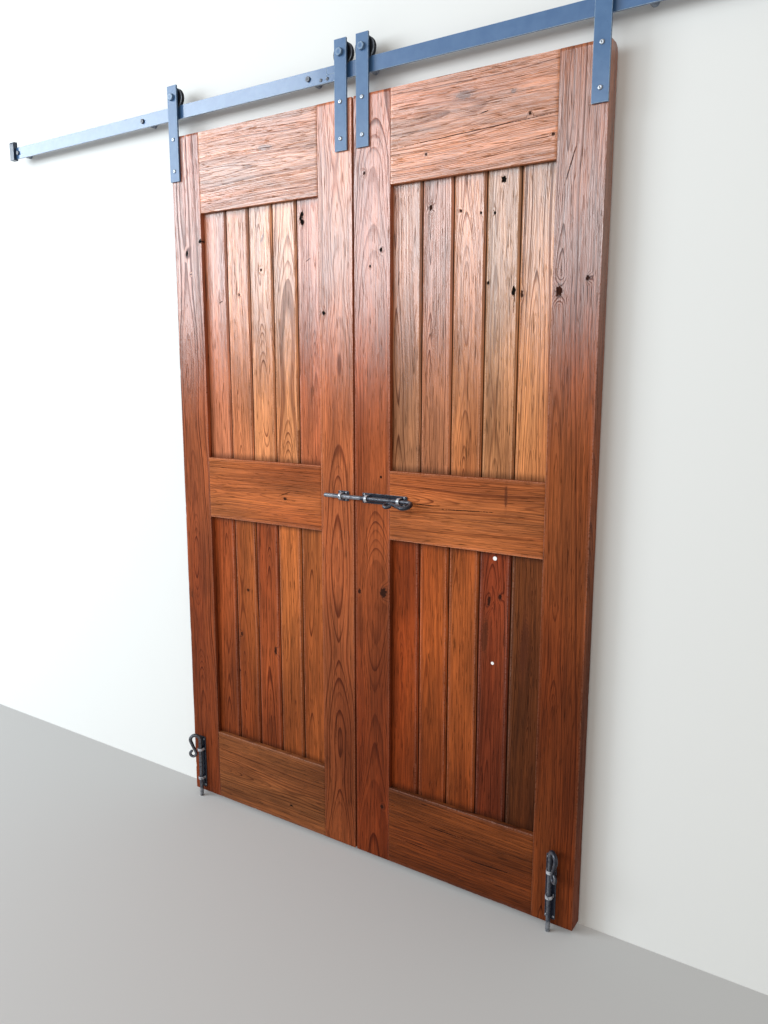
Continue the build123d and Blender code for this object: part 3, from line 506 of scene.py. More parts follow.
# Each piece's tone, its heart (across and depth, in mm) and its marks: kind, x, z, half width, half height, tilt
LOOKS = {
    "left_outer_stile": ((0.3, 0.074, 0.022), (-630, 40), [("hole", -619, -409, 5, 9, 10),
        ("hole", -562, -377, 6, 7), ("stain", -656, -1484, 4, 14), ("crack", -640, -760, 1, 26, 6),
        ("knot", -606, -470, 3, 3)]),
    "left_inner_stile": ((0.415, 0.128, 0.044), (-60, 60), [("hole", -99, -606, 6, 6),
        ("crack", -70, -1800, 1, 60, 2)]),
    "right_inner_stile": ((0.325, 0.077, 0.021), (70, 120), [("hole", 88, -455, 5, 6),
        ("hole", 54, -493, 3, 3.5), ("knot", 36, -260, 4, 5), ("hole", 88, -1045, 3, 3.5),
        ("knot", 96, -1367, 11, 15, 10), ("knot", 16, -1374, 5, 7), ("knot", 92, -2008, 5, 6)]),
    "right_outer_stile": ((0.255, 0.066, 0.017), (588, -8), [("crack", 592, -309, 1.2, 48, 17),
        ("knot", 574, -585, 9, 13), ("knot", 640, -560, 5, 6)]),
    "left_top_rail": ((0.42, 0.14, 0.05), (-190, 30), [("stain", -300, -150, 30, 8, 5)]),
    "left_mid_rail": ((0.35, 0.098, 0.026), (-1130, 20), [("knot", -250, -1133, 7, 4),
        ("crack", -250, -1118, 1, 24, 70)]),
    "left_bottom_rail": ((0.19, 0.062, 0.019), (-2070, 10), [("hole", -249, -2110, 6, 3)]),
    "right_top_rail": ((0.42, 0.14, 0.05), (-150, 60), [("stain", 322, -123, 22, 10),
        ("stain", 449, -137, 8, 5), ("crack", 375, -170, 1.1, 12, 80), ("knot", 490, -191, 4, 4),
        ("knot", 220, -240, 4, 4), ("knot", 547, -244, 4, 4), ("crack", 339, -207, 1.0, 219, 88)]),
    "right_mid_rail": ((0.36, 0.105, 0.029), (-1090, 15), [("crack", 229, -1110, 1.3, 40, 90),
        ("crack", 350, -1114, 1.3, 82, 88), ("stain", 456, -1070, 4, 30)]),
    "right_bottom_rail": ((0.13, 0.032, 0.007), (-2040, 12), [("crack", 300, -2020, 1.4, 60, 90),
        ("crack", 430, -2075, 1.6, 70, 88), ("crack", 210, -2090, 1.2, 50, 92)]),
    "left_upper_board_1": ((0.41, 0.135, 0.06), (-510, 20), [("crack", -498, -556, 1.4, 9, 72)]),
    "left_upper_board_2": ((0.5, 0.18, 0.072), (-430, 15), [("knot", -424, -539, 3.5, 4.5)]),
    "left_upper_board_3": ((0.51, 0.195, 0.076), (-340, 40), [("knot", -336, -474, 4, 5),
        ("stain", -330, -388, 4, 12, 25)]),
    "left_upper_board_4": ((0.49, 0.185, 0.068), (-250, 60), []),
    "left_upper_board_5": ((0.39, 0.115, 0.044), (-140, 30), [("hole", -183, -337, 6, 8, 15),
        ("hole", -187, -347, 5, 6), ("hole", -182, -357, 7, 9, -25), ("crack", -163, -459, 1.3, 8, 62)]),
    "left_lower_board_1": ((0.275, 0.062, 0.015), (-520, 30), []),
    "left_lower_board_2": ((0.315, 0.08, 0.018), (-440, 25), [("knot", -421, -1439, 6, 5),
        ("knot", -453, -1588, 4, 6), ("knot", -468, -1713, 5, 6)]),
    "left_lower_board_3": ((0.29, 0.064, 0.016), (-330, 30), [("knot", -312, -1618, 5, 13)]),
    "left_lower_board_4": ((0.365, 0.102, 0.025), (-240, 15), []),
    "left_lower_board_5": ((0.35, 0.098, 0.024), (-170, 40), []),
    "right_upper_board_1": ((0.375, 0.152, 0.066), (130, 25), []),
    "right_upper_board_2": ((0.415, 0.15, 0.064), (227, 6), [("knot", 227, -364, 5, 7)]),
    "right_upper_board_3": ((0.42, 0.15, 0.052), (330, 30), [("hole", 311, -380, 3, 4),
        ("hole", 365, -391, 3, 4)]),
    "right_upper_board_4": ((0.42, 0.19, 0.078), (420, 20), [("hole", 423, -321, 7, 8),
        ("hole", 402, -394, 3, 4), ("hole", 388, -554, 3, 5), ("hole", 455, -577, 5, 12),
        ("crack", 457, -600, 1.2, 26, 3)]),
    "right_upper_board_5": ((0.43, 0.165, 0.058), (520, 10), [("knot", 476, -585, 4, 9)]),
    "right_lower_board_1": ((0.265, 0.053, 0.01), (150, 20), []),
    "right_lower_board_2": ((0.315, 0.074, 0.015), (230, 40), []),
    "right_lower_board_3": ((0.295, 0.073, 0.016), (320, 25), [("crack", 307, -1438, 1.3, 16)]),
    "right_lower_board_4": ((0.18, 0.036, 0.011), (420, 30), [("filling", 423.5, -1231.5, 6.2, 6.2),
        ("filling", 423.5, -1509.5, 4.8, 4.8), ("knot", 410, -1345, 4, 14, 5), ("knot", 440, -1330, 5, 8),
        ("stain", 400, -1440, 10, 50, 3)]),
    "right_lower_board_5": ((0.115, 0.034, 0.009), (520, 20), [("stain", 510, -1450, 12, 80, 2)]),
}


def cut_stiles():
    """The stiles, grooved for the boards on one edge; one has lost its upper back corner."""
    for hand, side in SIDES.items():
        for part, edge, panel in (("inner", MEETING_EDGE, OPENING_START), ("outer", OUTER_EDGE, OPENING_END)):
            name = f"{hand}_{part}_stile"
            free, met = side * edge, side * panel
            deep = met + (GROOVE_DEPTH if free > met else -GROOVE_DEPTH)
            corners = [(a, y, ARRIS, False) for a, y in ((free, LEAF_FRONT), (free, LEAF_BACK), (met, LEAF_BACK))]
            corners += notch(met, deep, GROOVE_BACK, GROOVE_FRONT)
            corners.append((met, LEAF_FRONT, ARRIS * 1.2, True))
            drawn = drawn_in(min(free, met), max(free, met))
            stops = [(LEAF_FOOT, drawn)] + stops_between(LEAF_FOOT, LEAF_TOP) + [(LEAF_TOP, drawn)]

            def worn_back(run):
                down = min(WORN_CORNER, LEAF_TOP - run)
                return LEAF_BACK - WORN_CORNER + sqrt(max(0.0, WORN_CORNER ** 2 - (WORN_CORNER - down) ** 2))

            # Painted shade on the stile's side that faces into the panel's recess, deeper in the recess
            def grime_and_shade_at(a, y, met=met):
                return min(1.0, (y - LEAF_FRONT) / STILE_SHADE) if abs(a - met) < 0.6 else 0.0

            cut_timber(name, corners, FRAME_STEP, stops, True, edge + side, LEAF_FRONT, grime_and_shade_at,
                       limit=worn_back if name == "right_outer_stile" else None)


def cut_rails():
    """The rails, with a haunch at each end that fills the stile's groove."""
    for hand, side in SIDES.items():
        left, right = sorted((side * OPENING_START, side * OPENING_END))
        for part, (low, high, grooved_low, grooved_high) in LEAF_RAILS.items():
            under, over = low + GROOVE_DEPTH, high - GROOVE_DEPTH
            corners = [(low, LEAF_FRONT, ARRIS, True), (high, LEAF_FRONT, ARRIS, False)]
            if grooved_high:
                corners += notch(high, over, GROOVE_FRONT, GROOVE_BACK)
            corners += [(high, LEAF_BACK, ARRIS, False), (low, LEAF_BACK, ARRIS, False)]
            if grooved_low:
                corners += notch(low, under, GROOVE_BACK, GROOVE_FRONT)
            haunch = (under if grooved_low else low, over if grooved_high else high, BOARD_FRONT, BOARD_BACK)
            drawn = drawn_in(low, high)
            stops = [(left - HAUNCH, haunch), (left + 0.05, haunch), (left + 0.05, drawn)]
            stops += stops_between(left, right)
            stops += [(right - 0.05, drawn), (right - 0.05, haunch), (right + HAUNCH, haunch)]

            # Painted shade on the rails' undersides, and darker top faces, where the panels meet them
            def grime_and_shade_at(a, y, low=low, high=high, foot=grooved_low, head=grooved_high):
                below = foot and abs(a - low) < 0.6
                above = head and abs(a - high) < 0.6
                reach = UNDERSIDE_SHADE if below else HEAD_DARKENING
                return min(1.0, (y - LEAF_FRONT) / reach) if below or above else 0.0

            cut_timber(f"{hand}_{part}", corners, FRAME_STEP, stops, False, low * 0.1 + side, LEAF_FRONT, grime_and_shade_at)


def cut_boards():
    """The panels' boards, bevelled at their seams, with a tongue on the right edge and a groove in the left."""
    middle, half, wide = TONGUE_DEPTH, TONGUE_HALF, TONGUE_HALF + TONGUE_PLAY
    for hand in SIDES:
        for panel, (low, high) in PANELS.items():
            for number in range(1, BOARD_COUNT + 1):
                name = f"{hand}_{panel}_board_{number}"
                least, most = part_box(name)
                grooved, tongued = number > 1, number < BOARD_COUNT
                left = least.x / MM + SEAM_TRIM * grooved
                right = most.x / MM - (TONGUE + SEAM_TRIM) * tongued
                corners = [(left, BOARD_FRONT, 0, True)]
                if grooved:
                    corners = sharp_corners((left, BOARD_BACK))
                    corners += notch(left, left + TONGUE, middle + wide, middle - wide)
                    corners += sharp_corners((left, BOARD_FRONT + SEAM_BEVEL))
                    corners.append((left + SEAM_BEVEL, BOARD_FRONT, SEAM_ARRIS, True))
                if tongued:
                    corners.append((right - SEAM_BEVEL, BOARD_FRONT, SEAM_ARRIS, False))
                    corners += sharp_corners((right, BOARD_FRONT + SEAM_BEVEL))
                    corners += notch(right, right + TONGUE, middle - half, middle + half)
                else:
                    corners += sharp_corners((right, BOARD_FRONT))
                corners += sharp_corners((right, BOARD_BACK))
                if not grooved:
                    corners += sharp_corners((left, BOARD_BACK))

                # Soil and painted shade along the boards' edges and seams
                def grime_and_shade_at(a, y, left=left, right=right):
                    away = min(abs(a - left), abs(a - right))
                    return 0.0 if y == BOARD_BACK else max(0.0, 1 - away / SEAM_GRIME_AND_SHADE)

                run = high - low + 2 * BOARD_REACH
                stops = [(low - BOARD_REACH + run * n / BOARD_CUTS, None) for n in range(BOARD_CUTS + 1)]
                cut_timber(name, corners, BOARD_STEP, stops, True, left * 0.37, BOARD_FRONT, grime_and_shade_at,
                           (low, high), BOARD_CHIPPING)


cut_stiles()
cut_rails()
cut_boards()


# Metal finishes
def metal_material(name, colour, second, worn_and_lit_colour, rough, metallic, relief, grain, coat=0.0, sheen=0.3):
    """A painted or forged metal: mottled colour, uneven gloss, a fine texture, and edges painted paler as
    scuffing and as highlights.
    """
    made, tree, shader, place = new_material(name)
    broad = cloud(tree, place, grain * 0.06, 2, 0.6)
    fine = cloud(tree, place, grain, 3, 0.6)
    base = mix(tree, fade(tree, broad, 0.3, 0.7), colour + (1,), second + (1,))
    specks = times(tree, fade(tree, cloud(tree, place, grain * 0.4, 3, 0.7), 0.60, 0.72), 0.3)
    base = mix(tree, specks, base, [c * 0.5 for c in colour] + [1])
    patches = fade(tree, cloud(tree, place, 140, 2, 0.6), 0.30, 0.58, 0.25, 1.0)
    # Edges and staple rims painted paler: partly scuffing, partly painted highlight
    base = mix(tree, times(tree, painted(tree, "wear_and_highlight"), patches), base, worn_and_lit_colour + (1,))
    texture = {"Strength": 0.6, "Distance": relief * MM, "Height": fine}
    feed(tree, shader, {
        "Base Color": base, "Roughness": fade(tree, fine, 0.25, 0.75, rough - 0.07, rough + 0.09),
        "Metallic": metallic, "Coat Weight": coat, "Coat Roughness": 0.14, "Specular IOR Level": sheen,
        "Normal": put(tree, "ShaderNodeBump", named=texture).outputs[0],
    })
    return made


# Each finish's material, two colours, a colour for scuffed edges and painted highlights, roughness, metal, relief
# (in mm), grain, coat and sheen
METALS = {
    "rail_paint": ("rail_blue_paint", (0.047, 0.118, 0.255), (0.062, 0.139, 0.282), (0.30, 0.40, 0.50),
                   0.36, 0.0, 0.10, 500, 0.8),
    "strap_paint": ("strap_blue_paint", (0.055, 0.128, 0.26), (0.070, 0.150, 0.29), (0.28, 0.38, 0.48),
                    0.38, 0.0, 0.10, 500, 0.28),
    "stop_paint": ("stop_dark_paint", (0.015, 0.026, 0.05), (0.03, 0.048, 0.085), (0.25, 0.30, 0.38),
                   0.4, 0.0, 0.10, 500, 0.4),
    "dark_screws": ("screw_black_paint", (0.012, 0.015, 0.024), (0.03, 0.035, 0.05), (0.20, 0.22, 0.26),
                    0.42, 0.0, 0.1, 700, 0.3),
    "wheel_finish": ("wheel_black_finish", (0.010, 0.011, 0.015), (0.025, 0.027, 0.034), (0.16, 0.18, 0.21),
                     0.34, 0.2, 0.06, 800, 0.3),
    "wrought_iron": ("forged_iron", (0.006, 0.008, 0.015), (0.018, 0.023, 0.040), (0.52, 0.54, 0.58),
                     0.30, 0.3, 0.10, 130, 0.15, 0.35),
    "plated_steel": ("plated_steel", (0.20, 0.22, 0.25), (0.30, 0.32, 0.35), (0.62, 0.65, 0.70),
                     0.36, 0.8, 0.05, 800),
}
FINISHES = {finish: metal_material(*values) for finish, values in METALS.items()}


# Shaping metal; every function adds to an open mesh, and a corner's value says how scuffed it is and how much
# painted highlight it gets
def opened():
    """An empty mesh to shape, with its layer of scuffing and painted highlight."""
    work = bmesh.new()
    work.loops.layers.float.new("wear_and_highlight")
    return work


def closed(work, name):
    """The shaped mesh, closed for editing."""
    mesh = bpy.data.meshes.new(name)
    bmesh.ops.recalc_face_normals(work, faces=work.faces)
    work.to_mesh(mesh)
    work.free()
    return mesh


def add_rings(work, rings, wears_and_highlights, joined_ends=False):
    """Join rings of points (in mm) into a skin; the scuffing and painted highlight has a list for each ring, with
    a value for each point.
    """
    layer = work.loops.layers.float["wear_and_highlight"]
    made = [[work.verts.new(Vector(point) * MM) for point in points] for points in rings]
    for n in range(len(made) if joined_ends else len(made) - 1):
        m = (n + 1) % len(made)
        for i in range(len(made[n])):
            j = (i + 1) % len(made[n])
            face = work.faces.new((made[n][i], made[n][j], made[m][j], made[m][i]))
            for loop, wear_and_highlight in zip(face.loops, (wears_and_highlights[n][i], wears_and_highlights[n][j], wears_and_highlights[m][j], wears_and_highlights[m][i])):
                loop[layer] = wear_and_highlight
    if not joined_ends:
        work.faces.new(made[0])
        work.faces.new(list(reversed(made[-1])))


def add_turned(work, centre, profile, segments=48, joined_ends=False):
    """Turn a profile of (radius, depth, scuffing and painted highlight) about an axis along Y; a fourth value is
    half a hexagon's flats.
    """
    x, y, z = centre
    rings = []
    for radius, depth, _, *flats in profile:
        points = []
        for step in range(segments):
            angle = 2 * pi * step / segments
            reach = min([radius] + [half / cos(angle % (pi / 3) - pi / 6) for half in flats])
            points.append((x + reach * cos(angle), y + depth, z + reach * sin(angle)))
        rings.append(points)
    add_rings(work, rings, [[place[2]] * segments for place in profile], joined_ends)


def add_flat(work, outline, start, end, ease, across="XZ", worn_and_lit=1.0):
    """Cut a flat outline from plate between two depths and ease all its edges."""
    layer = work.loops.layers.float["wear_and_highlight"]
    lift = (lambda a, b, d: (a, d, b)) if across == "XZ" else (lambda a, b, d: (d, a, b))
    loop = [work.verts.new(Vector(lift(a, b, start)) * MM) for a, b in outline]
    sheet = work.faces.new(loop)
    grown = bmesh.ops.extrude_face_region(work, geom=[sheet])["geom"]
    moved = [item for item in grown if isinstance(item, bmesh.types.BMVert)]
    bmesh.ops.translate(work, verts=moved, vec=Vector(lift(0, 0, end - start)) * MM)
    edges = {edge for vert in loop + moved for edge in vert.link_edges}
    bent = [edge for edge in edges if edge.calc_face_angle(0) > radians(40)]
    eased = bmesh.ops.bevel(work, geom=bent, offset=ease * MM, segments=3, profile=0.5, affect="EDGES",
                            clamp_overlap=True)
    # The eased edges are painted as scuffed and lit
    for face in eased["faces"]:
        for corner in face.loops:
            corner[layer] = worn_and_lit


def box_outline(left, right, low, high):
    """A rectangle's outline."""
    return [(left, low), (right, low), (right, high), (left, high)]


def rounded_outline(left, right, low, high, steps=4):
    """A plate's outline with round corners."""
    points = []
    left, right, low, high = left + PLATE_CORNER, right - PLATE_CORNER, low + PLATE_CORNER, high - PLATE_CORNER
    for x, z, start in ((right, low, -90), (right, high, 0), (left, high, 90), (left, low, 180)):
        for n in range(steps + 1):
            angle = radians(start + 90 * n / steps)
            points.append((x + PLATE_CORNER * cos(angle), z + PLATE_CORNER * sin(angle)))
    return points


def hex_head(flats, height):
    """A hexagonal head with its turned chamfer and a washer face; the seat is at depth 0."""
    half = flats / 2
    corner = half / cos(pi / 6)
    crown = [(half * 0.5, -height, 0.2), (half * 0.93, -height, 0.6)]
    for n in range(5):
        grown = (corner - half * 0.93) * n / 4
        crown.append((half * 0.93 + grown, -height + grown * 0.58, 1.0 - 0.5 * n / 4, half))
    return crown + [(corner, -0.7, 0.4, half), (half * 0.97, -0.5, 0.2), (half * 0.95, 0, 0)]


def shank(radius, length, tip):
    """A plain shank from the seat to its eased tip."""
    return [(radius, 0, 0), (radius, length - tip, 0), (radius - tip, length, 0)]


def round_head(head_radius, height, radius, length, socket=0.0, depth=0.0):
    """A domed head, with a hexagonal socket where one is given, and a shank; the seat is at depth 0."""
    inside = [(head_radius * 0.25, -height, 0.7)]
    if socket:
        half = socket * cos(pi / 6)
        inside = [(socket * 0.4, depth - height, 0, half), (socket, depth - height, 0, half),
                  (socket, -height + 0.2, 0.3, half), (socket + 0.3, -height, 0.8)]
    dome = []
    start = inside[-1][0] + 0.3
    for n in range(6):
        angle = radians(90 * n / 5)
        out = start + (head_radius - start) * sin(angle)
        dome.append((out, -height * (0.2 + 0.8 * cos(angle)), 0.9 - 0.5 * n / 5))
    return inside + dome + [(head_radius, 0, 0)] + shank(radius, length, 0.6)


def fastener_nodes():
    """Geometry nodes that set one fastener on every point of a mesh, each turned differently about its axis."""
    tree = bpy.data.node_groups.new("set_fasteners", "GeometryNodeTree")
    for label, kind in (("Places", "Geometry"), ("Fastener", "Object"), ("Finish", "Material"), ("Seed", "Int")):
        tree.interface.new_socket(label, in_out="INPUT", socket_type="NodeSocket" + kind)
    tree.interface.new_socket("Set", in_out="OUTPUT", socket_type="NodeSocketGeometry")
    given = tree.nodes.new("NodeGroupInput").outputs
    one = put(tree, "GeometryNodeObjectInfo", named={"Object": given["Fastener"]}).outputs["Geometry"]
    turn = put(tree, "FunctionNodeRandomValue", (0, -pi, 0), (0, pi, 0), named={"Seed": given["Seed"]},
               data_type="FLOAT_VECTOR").outputs[0]
    places = {"Points": given["Places"], "Instance": one, "Rotation": turn}
    spread = put(tree, "GeometryNodeInstanceOnPoints", named=places).outputs[0]
    real = put(tree, "GeometryNodeRealizeInstances", spread).outputs[0]
    finished = put(tree, "GeometryNodeSetMaterial", named={"Geometry": real, "Material": given["Finish"]})
    return give(tree, Set=finished.outputs[0])


FASTENERS = fastener_nodes()


def dress_metal(name, body, finish, mesh, sharp):
    """Dress a metal piece in its finish."""
    dress(mesh, name, body, FINISHES[finish], "plated_steel" if finish == "dark_screws" else finish, sharp)


def metal_piece(name, body, finish, work, sharp=TURNED):
    """Close an open mesh and dress it as a metal piece."""
    dress_metal(name, body, finish, closed(work, name), sharp)


def set_fasteners(name, body, finish, profile, places, seed):
    """Fasteners of one kind on their places, as one plain mesh that stands for a CAD node."""
    work = opened()
    add_turned(work, (0, 0, 0), profile)
    single = show(name + "_one", closed(work, name + "_one"))
    points = bpy.data.meshes.new(name + "_places")
    points.from_pydata([Vector(place) * MM for place in places], [], [])
    holder = show(name + "_places", points)
    modifier = holder.modifiers.new("fasteners", "NODES")
    modifier.node_group = FASTENERS
    given = {"Fastener": single, "Finish": FINISHES[finish], "Seed": seed}
    for item in FASTENERS.interface.items_tree:
        if item.in_out == "INPUT" and item.name in given:
            modifier[item.identifier] = given[item.name]
    seen = holder.evaluated_get(bpy.context.evaluated_depsgraph_get())
    mesh = bpy.data.meshes.new_from_object(seen)
    for item in (holder, single):
        bpy.data.objects.remove(item)
    dress_metal(name, body, finish, mesh, TURNED)


# The rail and what is screwed to it
def rail_bars():
    """The two bars, halved together left of the middle, and the plate behind their joint."""
    left_bar = [(-RAIL_END, -BAR_EDGE), (LAP_RIGHT, -BAR_EDGE), (LAP_RIGHT, -LAP_GAP / 2),
                (LAP_LEFT, -LAP_GAP / 2), (LAP_LEFT, BAR_EDGE), (-RAIL_END, BAR_EDGE)]
    lap_left, lap_right = LAP_LEFT + LAP_GAP, LAP_RIGHT + LAP_GAP
    right_bar = [(lap_right, -BAR_EDGE), (RAIL_END, -BAR_EDGE), (RAIL_END, BAR_EDGE), (lap_left, BAR_EDGE),
                 (lap_left, LAP_GAP / 2), (lap_right, LAP_GAP / 2)]
    splice = box_outline(SPLICE_LEFT, SPLICE_RIGHT, SPLICE_LOW, SPLICE_HIGH)
    for name, outline, start, end, ease, finish in (
            ("rail_left", left_bar, RAIL_FRONT, RAIL_BACK, BAR_EASE, "rail_paint"),
            ("rail_right", right_bar, RAIL_FRONT, RAIL_BACK, BAR_EASE, "rail_paint"),
            ("splice_plate", splice, RAIL_BACK, RAIL_BACK + SPLICE_THICKNESS, SPLICE_EASE, "stop_paint")):
        work = opened()
        add_flat(work, outline, start, end, ease)
        metal_piece(name, "rail", finish, work, FLAT)


def rail_fittings():
    """The spacers, the end stops and the rail's screws."""
    inner, outer, ease = SPACER_INNER, SPACER_OUTER, SPACER_EASE
    tube = [(inner, -0.3, 0), (inner + ease, 0, 0), (outer - ease, 0, 0.5), (outer, -ease, 1),
            (outer, RAIL_BACK + ease, 1), (outer - ease, RAIL_BACK, 0.5), (inner + ease, RAIL_BACK, 0),
            (inner, RAIL_BACK + 0.3, 0)]
    work = opened()
    for x in FIXINGS:
        add_turned(work, (x, 0, 0), tube, joined_ends=True)
    metal_piece("wall_spacers", "rail", "stop_paint", work)

    front, slot_front, slot_half = RAIL_FRONT - STOP_COVER, RAIL_FRONT - STOP_PLAY, BAR_EDGE + STOP_PLAY
    low, high = -BAR_EDGE - STOP_BELOW, BAR_EDGE + STOP_ABOVE
    side = [(front, low), (RAIL_BACK, low), (RAIL_BACK, -slot_half),
            (slot_front, -slot_half), (slot_front, slot_half), (RAIL_BACK, slot_half), (RAIL_BACK, high)]
    for angle in range(0, 91, 15):
        turned = radians(angle)
        side.append((front + STOP_ROUND * (1 - sin(turned)), high - STOP_ROUND * (1 - cos(turned))))
    work = opened()
    for middle in (-STOP_CENTRE, STOP_CENTRE):
        add_flat(work, side, middle - STOP_HALF, middle + STOP_HALF, STOP_EASE, across="YZ")
    metal_piece("end_stops", "rail", "stop_paint", work, FLAT)

    body, thread, length = WALL_SCREW_RADIUS, WALL_SCREW_THREAD, WALL_SCREW_LENGTH
    screw = hex_head(WALL_SCREW_FLATS, WALL_SCREW_HEAD)
    screw += [(body, 0, 0), (body, -RAIL_FRONT, 0), (thread, -RAIL_FRONT + 0.4, 0),
              (thread, length - WALL_SCREW_POINT, 0), (0.6, length, 0)]
    places = [(x, RAIL_FRONT, 0) for x in FIXINGS]
    set_fasteners("wall_screws", "rail", "dark_screws", screw, places, SEEDS["wall"])

    work = opened()
    small = round_head(*JOINT_SCREW)
    for x in SPLICE_SCREWS:
        add_turned(work, (x, RAIL_FRONT, SPLICE_SCREW_Z), small, 32)
    for x in (-STOP_CENTRE, STOP_CENTRE):
        add_turned(work, (x, RAIL_BACK, 0), [(radius, -depth, wear_and_highlight) for radius, depth, wear_and_highlight in small], 32)
    metal_piece("rail_joint_screws", "rail", "dark_screws", work)


# The turned profiles of a wheel, with its deep groove, and of a nut: radius, depth, scuffing and painted
# highlight, and half the flats
WHEEL_MIDDLE = -47
GROOVE_SIDE = [(29.7, 5.4, 1), (30, 4.8, 1), (30, 4.5, 1), (29.6, 4.0, 0.6), (20.9, 3.6, 0.6), (20.7, 3.3, 1)]
WHEEL = [(5.06, -39.5, 0), (5.5, -39.3, 0.3), (8.6, -39.3, 0.6), (9, -39.7, 0.6), (9, -41.3, 0),
         (29.0, -41.3, 0.3)]
WHEEL += [(radius, WHEEL_MIDDLE + away, wear_and_highlight) for radius, away, wear_and_highlight in GROOVE_SIDE]
WHEEL += [(radius, WHEEL_MIDDLE - away, wear_and_highlight) for radius, away, wear_and_highlight in reversed(GROOVE_SIDE)]
WHEEL += [(29.0, -52.7, 0.6), (26.3, -52.7, 0.3), (25.8, -52.5, 0.3), (25.0, -51.75, 0), (24.4, -51.7, 0),
          (9, -51.7, 0), (9, -57.2, 0.5), (8.6, -57.6, 0.5), (5.5, -57.6, 0), (5.06, -57.4, 0)]
NUT = [(5.1, -30.9, 0), (8.1, -30.9, 0.5), (8.6, -31.2, 0.8, 8.5), (9.4, -31.7, 0.8, 8.5), (9.8, -32.2, 0.5, 8.5),
       (9.8, -37.6, 0.5, 8.5), (9.4, -38.1, 0.8, 8.5), (8.6, -38.6, 0.8, 8.5), (8.1, -38.9, 0.5), (5.1, -38.9, 0)]


def hanger_parts():
    """The straps, axle bolts, nuts, wheels and strap screws of both leaves."""
    for hand, side in SIDES.items():
        body = f"{hand}_leaf"
        for place, x in STRAPS.items():
            name = f"{hand}_{place}_strap"
            outline = box_outline(side * x - STRAP_HALF, side * x + STRAP_HALF, STRAP_FOOT, STRAP_TOP)
            work = opened()
            add_flat(work, outline, STRAP_FRONT, LEAF_FRONT, STRAP_EASE)
            metal_piece(name, body, "strap_paint", work, FLAT)
            name = f"{hand}_{place}_wheel"
            work = opened()
            add_turned(work, (side * x, 0, AXLE_Z), WHEEL, 96, joined_ends=True)
            metal_piece(name, name, "wheel_finish", work)
        axles = [(side * x, STRAP_FRONT, AXLE_Z) for x in STRAPS.values()]
        bolt = hex_head(AXLE_FLATS, AXLE_HEAD) + shank(AXLE_RADIUS, AXLE_LENGTH, 0.8)
        set_fasteners(f"{hand}_axle_bolts", body, "strap_paint", bolt, axles, SEEDS["axle"] + side)
        work = opened()
        for x, _, z in axles:
            add_turned(work, (x, 0, z), NUT, joined_ends=True)
        metal_piece(f"{hand}_axle_nuts", body, "plated_steel", work)
        places = [(x, STRAP_FRONT, z) for x, _, _ in axles for z in STRAP_SCREWS]
        screw, seed = round_head(*STRAP_SCREW), SEEDS["strap"] + side
        set_fasteners(f"{hand}_strap_screws", body, "plated_steel", screw, places, seed)


# The bolts: plates with their staples, and the crooked rods
def add_staple(work, middle, along, across):
    """A strip bent over a rod: two legs up from the plate and half a turn round the rod's axis."""
    inner, half, ease = ROD_RADIUS + STAPLE_GAP, STAPLE_HALF, STAPLE_EASE
    outer = inner + STAPLE_THICKNESS
    path = [(-1, 0, lift) for lift in (-STAPLE_FOOT, 4, 8)]
    path += [(-cos(radians(a)), sin(radians(a)), ROD_STANDOFF) for a in range(0, 181, 12)]
    path += [(1, 0, lift) for lift in (8, 4, -STAPLE_FOOT)]
    strip = [(inner, ease - half), (inner, half - ease), (inner + ease, half), (outer - ease, half),
             (outer, half - ease), (outer, ease - half), (outer - ease, -half), (inner + ease, -half)]
    along, across = Vector(along), Vector(across)
    rings = []
    for sideways, outwards, lift in path:
        centre = Vector(middle) - Vector((0, lift, 0))
        reach = across * sideways - Vector((0, outwards, 0))
        rings.append([centre + reach * distance + along * run for distance, run in strip])
    # The staple's outer face is painted at full strength: a painted highlight round its rim
    add_rings(work, rings, [[0, 0, 0.1, 0.9, 1.0, 1.0, 0.9, 0.1]] * len(rings))


def rod_path(length):
    """A rod's middle line and radius in its plane: straight, over the crook, down the taper, round the eye."""
    straight = int(length / 7)
    path = [(0, -length, ROD_RADIUS - 1.5), (0, -length + 1.5, ROD_RADIUS)]
    path += [(0, -length + (length - CROOK_RADIUS) * n / straight, ROD_RADIUS) for n in range(1, straight)]
    turn = 180 + CROOK_LEAN
    for n in range(25):
        angle = radians(180 - turn * n / 24)
        path.append((CROOK_RADIUS * (1 + cos(angle)), CROOK_RADIUS * (sin(angle) - 1), ROD_RADIUS))
    way = (sin(angle), -cos(angle))
    start = path[-1]
    for n in range(1, 9):
        run = ARM_LENGTH * n / 8
        radius = ROD_RADIUS + (TAIL_RADIUS - ROD_RADIUS) * n / 8
        path.append((start[0] + way[0] * run, start[1] + way[1] * run, radius))
    tip = path[-1]
    eye = (tip[0] - way[1] * EYE_RADIUS, tip[1] + way[0] * EYE_RADIUS)
    begin = atan2(tip[1] - eye[1], tip[0] - eye[0])
    sweep = pi + acos((ROD_RADIUS + EYE_GAP - EYE_RADIUS) / (EYE_RADIUS + TAIL_RADIUS))
    for n in range(1, 31):
        angle = begin + sweep * n / 30
        path.append((eye[0] + EYE_RADIUS * cos(angle), eye[1] + EYE_RADIUS * sin(angle), TAIL_RADIUS))
    path[-1] = path[-1][:2] + (TAIL_RADIUS - 1.4,)
    return path


